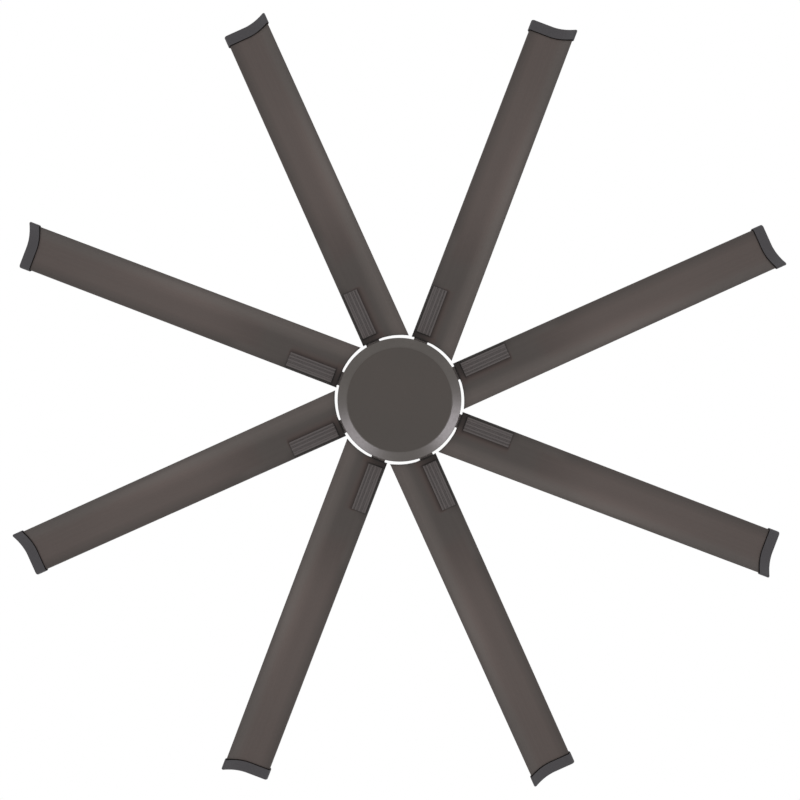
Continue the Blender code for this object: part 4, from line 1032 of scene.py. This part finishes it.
def bumped(tree, shader, layers):
    """Stacks (height, depth in metres) layers of relief on a shader."""
    normal = None
    for height, depth in layers:
        inputs = {"Strength": 1.0, "Distance": depth, "Height": height}
        if normal:
            inputs["Normal"] = normal
        normal = add(tree, "ShaderNodeBump", inputs).outputs[0]
    fill(tree, shader, {"Normal": normal})


def plate_gap(tree):
    """Distance from the clamp plate's outline, counted double along the blade and far on its upper side."""
    middle = ((PLATE_START + PLATE_END) / 2, PLATE_OFFSET, BLADE_LEVEL)
    half = (PLATE_LENGTH / 2, PLATE_WIDTH / 2, BLADE_THICKNESS * PLATE_GAP_DEPTH_SHARE)
    size = vector(tree, "ABSOLUTE", vector(tree, "SUBTRACT", place_of(tree), middle))
    outside = vector(tree, "MAXIMUM", vector(tree, "SUBTRACT", size, half))
    return length_of(tree, vector(tree, "MULTIPLY", outside, PLATE_GAP_WEIGHTS))


def measures_of(tree):
    """What zones are measured by."""
    x, y, z = add(tree, "ShaderNodeSeparateXYZ", {0: place_of(tree)}).outputs
    radius = length_of(tree, place_of(tree, (1.0, 1.0, 0.0)))
    return {"x": x, "y": y, "z": z, "radius": radius, "plate": plate_gap(tree)}


def zone(tree, measures, spans):
    """One inside a zone and zero outside it, from (measure, outside, inside) spans."""
    return product(tree, *(eased_between(tree, measures[key], span, UNIT) for key, *span in spans))


def neck_painted_light(tree):
    """Painted light on the arm's underside, where it shows between the bottom cap and the blade's root."""
    under = ("z", ARM_LOW + ARM_THICKNESS / 2, ARM_LOW)
    inside = ("x", ROOT_RADIUS + NECK_FADE, ROOT_RADIUS)
    return scaled(tree, zone(tree, measures_of(tree), (under, inside)), NECK_PAINTED_LIGHT)


def rib_painted_light_and_shade(tree):
    """Painted light on the plate's ribs and painted shade down in the grooves."""
    crest = BLADE_LEVEL - SEAT_GAP - PLATE_BASE - RIB_HEIGHT
    return eased_between(tree, measures_of(tree)["z"], (crest, crest + RIB_HEIGHT / 2), RIB_PAINTED_LIGHT_AND_SHADE)


def painted(name, tints, gloss, metal=0.0, grain=1400.0, relief=0.00002, specular=0.5, edge=1.0, tone=None):
    """Paint or plastic with a slow drift between two tints, fine grain and slightly uneven gloss, and with
    painted light and shade where a tone is given.
    """
    tree, shader = new_finish(name)
    place = place_of(tree)
    colour = drifting(tree, noise(tree, place, scale=6.0), tints, DRIFT_SPAN)
    fine = noise(tree, place, grain, detail=2.0)
    speck = ranged(tree, fine, NOISE_SPAN, target=(0.92, 1.08))
    # A given tone paints light and shade into the colour.
    if tone:
        speck = product(tree, speck, tone(tree))
    looks = {
        "Base Color": shaded(tree, colour, speck),
        "Roughness": ranged(tree, noise(tree, place, grain / 12), NOISE_SPAN, gloss),
        "Metallic": metal,
        "Specular IOR Level": specular,
        "Specular Tint": opaque((edge, edge, edge)),
    }
    fill(tree, shader, looks)
    bumped(tree, shader, ((fine, relief),))


def bare_metal(name, tints, gloss, lines=(1.0, 1.0, 1.0), metal=1.0, relief=0.00001):
    """Bare metal with fine working marks along one axis and cloudy gloss."""
    tree, shader = new_finish(name)
    marks = noise(tree, place_of(tree, lines), scale=300.0, detail=4.0, roughness=0.6)
    cloud = noise(tree, place_of(tree), scale=18.0, detail=4.0)
    looks = {
        "Base Color": drifting(tree, cloud, tints),
        "Roughness": ranged(tree, marks, MARK_SPAN, gloss),
        "Metallic": metal,
    }
    fill(tree, shader, looks)
    bumped(tree, shader, ((marks, relief),))


def banded(name, wave, direction, cloud, tints, shading, relief, looks):
    """Metal in fine bands, shaded from one band to the next."""
    tree, shader = new_finish(name)
    place = place_of(tree)
    bands = add(tree, "ShaderNodeTexWave", {"Vector": place, **wave}, bands_direction=direction).outputs[1]
    tone = drifting(tree, noise(tree, place, **cloud), tints)
    fill(tree, shader, {"Base Color": shaded(tree, tone, ranged(tree, bands, *shading)), **looks})
    bumped(tree, shader, ((bands, relief),))


def laminated(name):
    """Stacked sheet steel: fine lines across the stack, with a dull edge."""
    wave = {"Scale": 600.0, "Distortion": 0.4, "Detail": 1.0}
    cloud = {"scale": 60.0, "detail": 4.0}
    tints = ((0.17, 0.17, 0.18), (0.26, 0.255, 0.25))
    shading = (UNIT, (0.7, 1.0))
    looks = {"Metallic": 0.9, "Roughness": 0.5}
    banded(name, wave, "Z", cloud, tints, shading, relief=0.00008, looks=looks)


def wound(name):
    """Enamelled copper wire, wound in fine turns."""
    wave = {"Scale": 160.0, "Distortion": 1.2, "Detail": 2.0, "Detail Scale": 3.0}
    cloud = {"scale": 40.0, "detail": 3.0}
    tints = ((0.50, 0.20, 0.09), (0.66, 0.30, 0.14))
    shading = ((0.0, 0.6), (0.35, 1.0))
    looks = {"Metallic": 0.85, "Roughness": 0.35, "Coat Weight": 0.4, "Coat Roughness": 0.2}
    banded(name, wave, "DIAGONAL", cloud, tints, shading, relief=0.0003, looks=looks)


def blade_painted_light_and_shade(tree, measures):
    """The blade's painted light and shade together, less what its sheen adds to every tone."""
    shades = [scaled(tree, zone(tree, measures, spans), full) for full, *spans in BLADE_PAINTED_LIGHT_AND_SHADE.values()]
    tone = ranged(tree, product(tree, *shades), (SHEEN_SHARE, 1.0), UNIT, clamp=False)
    return number(tree, "MAXIMUM", tone, LEAST_TONE)


def blade_hue(tree, measures):
    """Coat that is brown along the middle, olive at the edges as a painted tint of light, and a darker brown
    of painted shade close to the clamp plate and under the neck.
    """
    zones = {name: zone(tree, measures, spans) for name, spans in HUE_ZONES.items()}
    inner = number(tree, "MAXIMUM", zones["inner_trailing_side"], zones["past_plate"])
    behind = ranged(tree, zones["outer_part"], UNIT, (inner, zones["outer_trailing_side"]))
    fading = scaled(tree, zones["leading_side_far_out"], OLIVE_LEFT_FAR_OUT)
    ahead = product(tree, zones["leading_side"], fading)
    share = product(tree, number(tree, "MAXIMUM", ahead, behind), OLIVE_SHARE)
    drift = ranged(tree, noise(tree, place_of(tree, (0.35, 1.4, 1.0)), scale=14.0), DRIFT_SPAN, HUE_DRIFT)
    colour = mixed(tree, number(tree, "ADD", share, drift), opaque(BROWN), opaque(OLIVE))
    painted_shade = number(tree, "MAXIMUM", zones["close_behind_plate"], zones["neck"])
    return mixed(tree, painted_shade, colour, opaque(PAINTED_SHADE_BROWN))


def blade_finish(name):
    """Satin coat on an extrusion: slow drift of hue, faint lines along the blade, fine grain, and painted
    light and shade in its tone and hue.
    """
    tree, shader = new_finish(name)
    place = place_of(tree)
    measures = measures_of(tree)
    lines = noise(tree, place_of(tree, stretch=(0.004, 1.0, 1.0)), scale=420.0)
    grain = noise(tree, place, scale=1500.0, detail=2.0)
    speck = ranged(tree, grain, NOISE_SPAN, target=(0.93, 1.07))
    streak = ranged(tree, lines, NOISE_SPAN, target=(0.97, 1.03))
    shade = product(tree, speck, streak, blade_painted_light_and_shade(tree, measures))
    looks = {
        "Base Color": shaded(tree, blade_hue(tree, measures), shade),
        "Roughness": ranged(tree, noise(tree, place, scale=90.0), NOISE_SPAN, (0.40, 0.47)),
        "Metallic": 0.35,
    }
    fill(tree, shader, looks)
    bumped(tree, shader, ((grain, 0.00002), (lines, 0.000008)))


def make_finishes():
    coat = ((0.082, 0.072, 0.067), (0.074, 0.070, 0.065))
    cap = ((0.0475, 0.0422, 0.0470), (0.0437, 0.0405, 0.0450))
    plate = ((0.087, 0.073, 0.072), (0.081, 0.071, 0.070))
    arm = ((0.085, 0.071, 0.068), (0.079, 0.068, 0.066))
    cover = ((0.0636, 0.0526, 0.0470), (0.0602, 0.0510, 0.0458))
    bevel = ((0.130, 0.119, 0.111), (0.126, 0.115, 0.107))
    ball = ((0.020, 0.020, 0.021), (0.026, 0.026, 0.026))
    receiver = ((0.045, 0.045, 0.047), (0.052, 0.052, 0.053))
    motor = ((0.32, 0.32, 0.33), (0.40, 0.40, 0.41))
    magnet = ((0.08, 0.08, 0.09), (0.12, 0.12, 0.13))
    bright = ((0.52, 0.52, 0.53), (0.60, 0.60, 0.60))
    cast = ((0.20, 0.20, 0.21), (0.30, 0.30, 0.31))
    upright = (1.0, 1.0, 0.02)
    blade_finish("blade_paint")
    painted("cap_plastic", cap, (0.46, 0.54))
    # The plate's ribs and the arm's neck carry painted light and shade.
    painted("plate_paint", plate, (0.42, 0.50), 0.2, tone=rib_painted_light_and_shade)
    painted("arm_paint", arm, (0.45, 0.55), 0.2, tone=neck_painted_light)
    painted("housing_paint", coat, (0.38, 0.45), 0.4)
    painted("cover_paint", cover, (0.50, 0.56), specular=0.4)
    # Lighter, fully metallic copy of the cover's paint for the bevel alone, so that it reads brighter than
    # the face: painted light.
    painted("bevel_lit_paint", bevel, (0.40, 0.46), 1.0, edge=0.35)
    bare_metal("motor_metal", motor, (0.32, 0.50))
    bare_metal("magnet", magnet, (0.40, 0.55), metal=0.6)
    bare_metal("bright_steel", bright, (0.18, 0.32), upright)
    laminated("stator_steel")
    wound("copper")
    bare_metal("cast_steel", cast, (0.38, 0.55))
    painted("ball_plastic", ball, (0.30, 0.40))
    painted("receiver_plastic", receiver, (0.5, 0.62), grain=700.0, relief=0.00006)


def dress_frame():
    """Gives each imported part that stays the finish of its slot."""
    races = [f"{side}_bearing_{race}_race" for side in ("upper", "lower") for race in ("inner", "outer")]
    kept = {
        "motor_metal": ("rotor_base", "rotor_bell"),
        "magnet": ("magnet_ring",),
        "bright_steel": ("motor_shaft", "shaft_nut", "hanger_pin", "yoke_pin", "yoke_set_screw", *races),
        "stator_steel": ("stator_core",),
        "copper": ("stator_windings",),
        "cast_steel": ("motor_yoke",),
    }
    for finish, names in kept.items():
        for node in [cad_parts[name] for name in names]:
            for place in node.material_slots:
                place.material = FINISHES[finish]


# Room, light and camera


def seen_rays(tree):
    """1 for what the camera, a reflection or a clear material sees, and 0 for the light that falls."""
    path = add(tree, "ShaderNodeLightPath", {}).outputs
    seen = number(tree, "MAXIMUM", path["Is Camera Ray"], path["Is Glossy Ray"])
    return number(tree, "MAXIMUM", seen, path["Is Transmission Ray"])


def make_world():
    world = bpy.data.worlds.new("room")
    bpy.context.scene.world = world
    world.use_nodes = True
    tree = world.node_tree
    strength = ranged(tree, seen_rays(tree), UNIT, (AMBIENT, 1.0))
    fill(tree, tree.nodes["Background"], {"Color": WHITE, "Strength": strength})


def make_floor():
    """Pale floor that keeps the fan's soft shadow and fades to white far off."""
    floor = placed("floor", prism("floor", circle(FLOOR_RADIUS, steps=TURN_STEPS), -OVERRUN, 0))
    floor.location.z = FLOOR_LEVEL
    tree, shader = new_finish("floor")
    place = place_of(tree)
    tone = mixed(tree, noise(tree, place, scale=3.0), opaque(FLOOR_TINTS[0]), opaque(FLOOR_TINTS[1]))
    fill(tree, shader, {"Base Color": tone, "Roughness": 0.9, "Specular IOR Level": 0.1})
    seen = seen_rays(tree)
    glow = add(tree, "ShaderNodeEmission", {"Color": WHITE, "Strength": seen})
    fade = ranged(tree, length_of(tree, place), FLOOR_FADE_SPAN, FLOOR_FADE)
    inputs = {0: product(tree, fade, seen), 1: shader.outputs[0], 2: glow.outputs[0]}
    out = add(tree, "ShaderNodeMixShader", inputs)
    fill(tree, tree.nodes["Material Output"], {"Surface": out.outputs[0]})
    floor.data.materials.append(FINISHES["floor"])


def lamp(name, place, aim, size, power, colour=(1.0, 1.0, 1.0), diffuse=True, glossy=True):
    """Round soft lamp that points from its place at another point, and that the camera doesn't see."""
    light = bpy.data.lights.new(name, "AREA")
    light.shape = "DISK"
    light.size = size
    light.energy = power
    light.color = colour
    item = placed(name, light)
    item.location = place
    item.rotation_euler = (Vector(aim) - Vector(place)).to_track_quat("-Z", "Y").to_euler()
    item.visible_camera = False
    item.visible_diffuse = diffuse
    item.visible_glossy = glossy
    return item


def make_lights(bevel):
    """A wide lamp below, one above, and two at the sides that light the bevel alone."""
    for name, values, glossy in (("light_below", LOW_LAMP, False), ("light_above", HIGH_LAMP, True)):
        level, size, power = values
        lamp(name, (0, 0, level), (0, 0, BLADE_LEVEL), size, power, glossy=glossy)
    only_bevel = bpy.data.collections.new("bevel_only")
    only_bevel.objects.link(bevel)
    reach = BEVEL_LAMP_DISTANCE * cos(BEVEL_LAMP_DIP)
    level = CAP_LOW - BEVEL_LAMP_DISTANCE * sin(BEVEL_LAMP_DIP)
    for azimuth, size, power in BEVEL_LAMPS:
        place = (reach * cos(radians(azimuth)), reach * sin(radians(azimuth)), level)
        name = f"light_side_{azimuth:.0f}"
        item = lamp(name, place, (0, 0, CAP_LOW), size, power, BEVEL_LAMP_COLOUR, diffuse=False)
        item.light_linking.receiver_collection = only_bevel


def make_camera():
    view = bpy.data.cameras.new("camera")
    view.lens = LENS
    view.sensor_width = SENSOR
    camera = placed("camera", view)
    camera.location = (CAMERA_X, CAMERA_Y, BLADE_LEVEL - VIEW_DISTANCE)
    camera.rotation_euler = (pi, 0, 0)
    bpy.context.scene.camera = camera


def main():
    bpy.context.scene.view_settings.view_transform = "Standard"
    make_camera()
    make_finishes()
    dress_frame()
    add_blades()
    bevel = add_covers()
    add_rod()
    add_ceiling_side()
    make_world()
    make_floor()
    make_lights(bevel)


main()
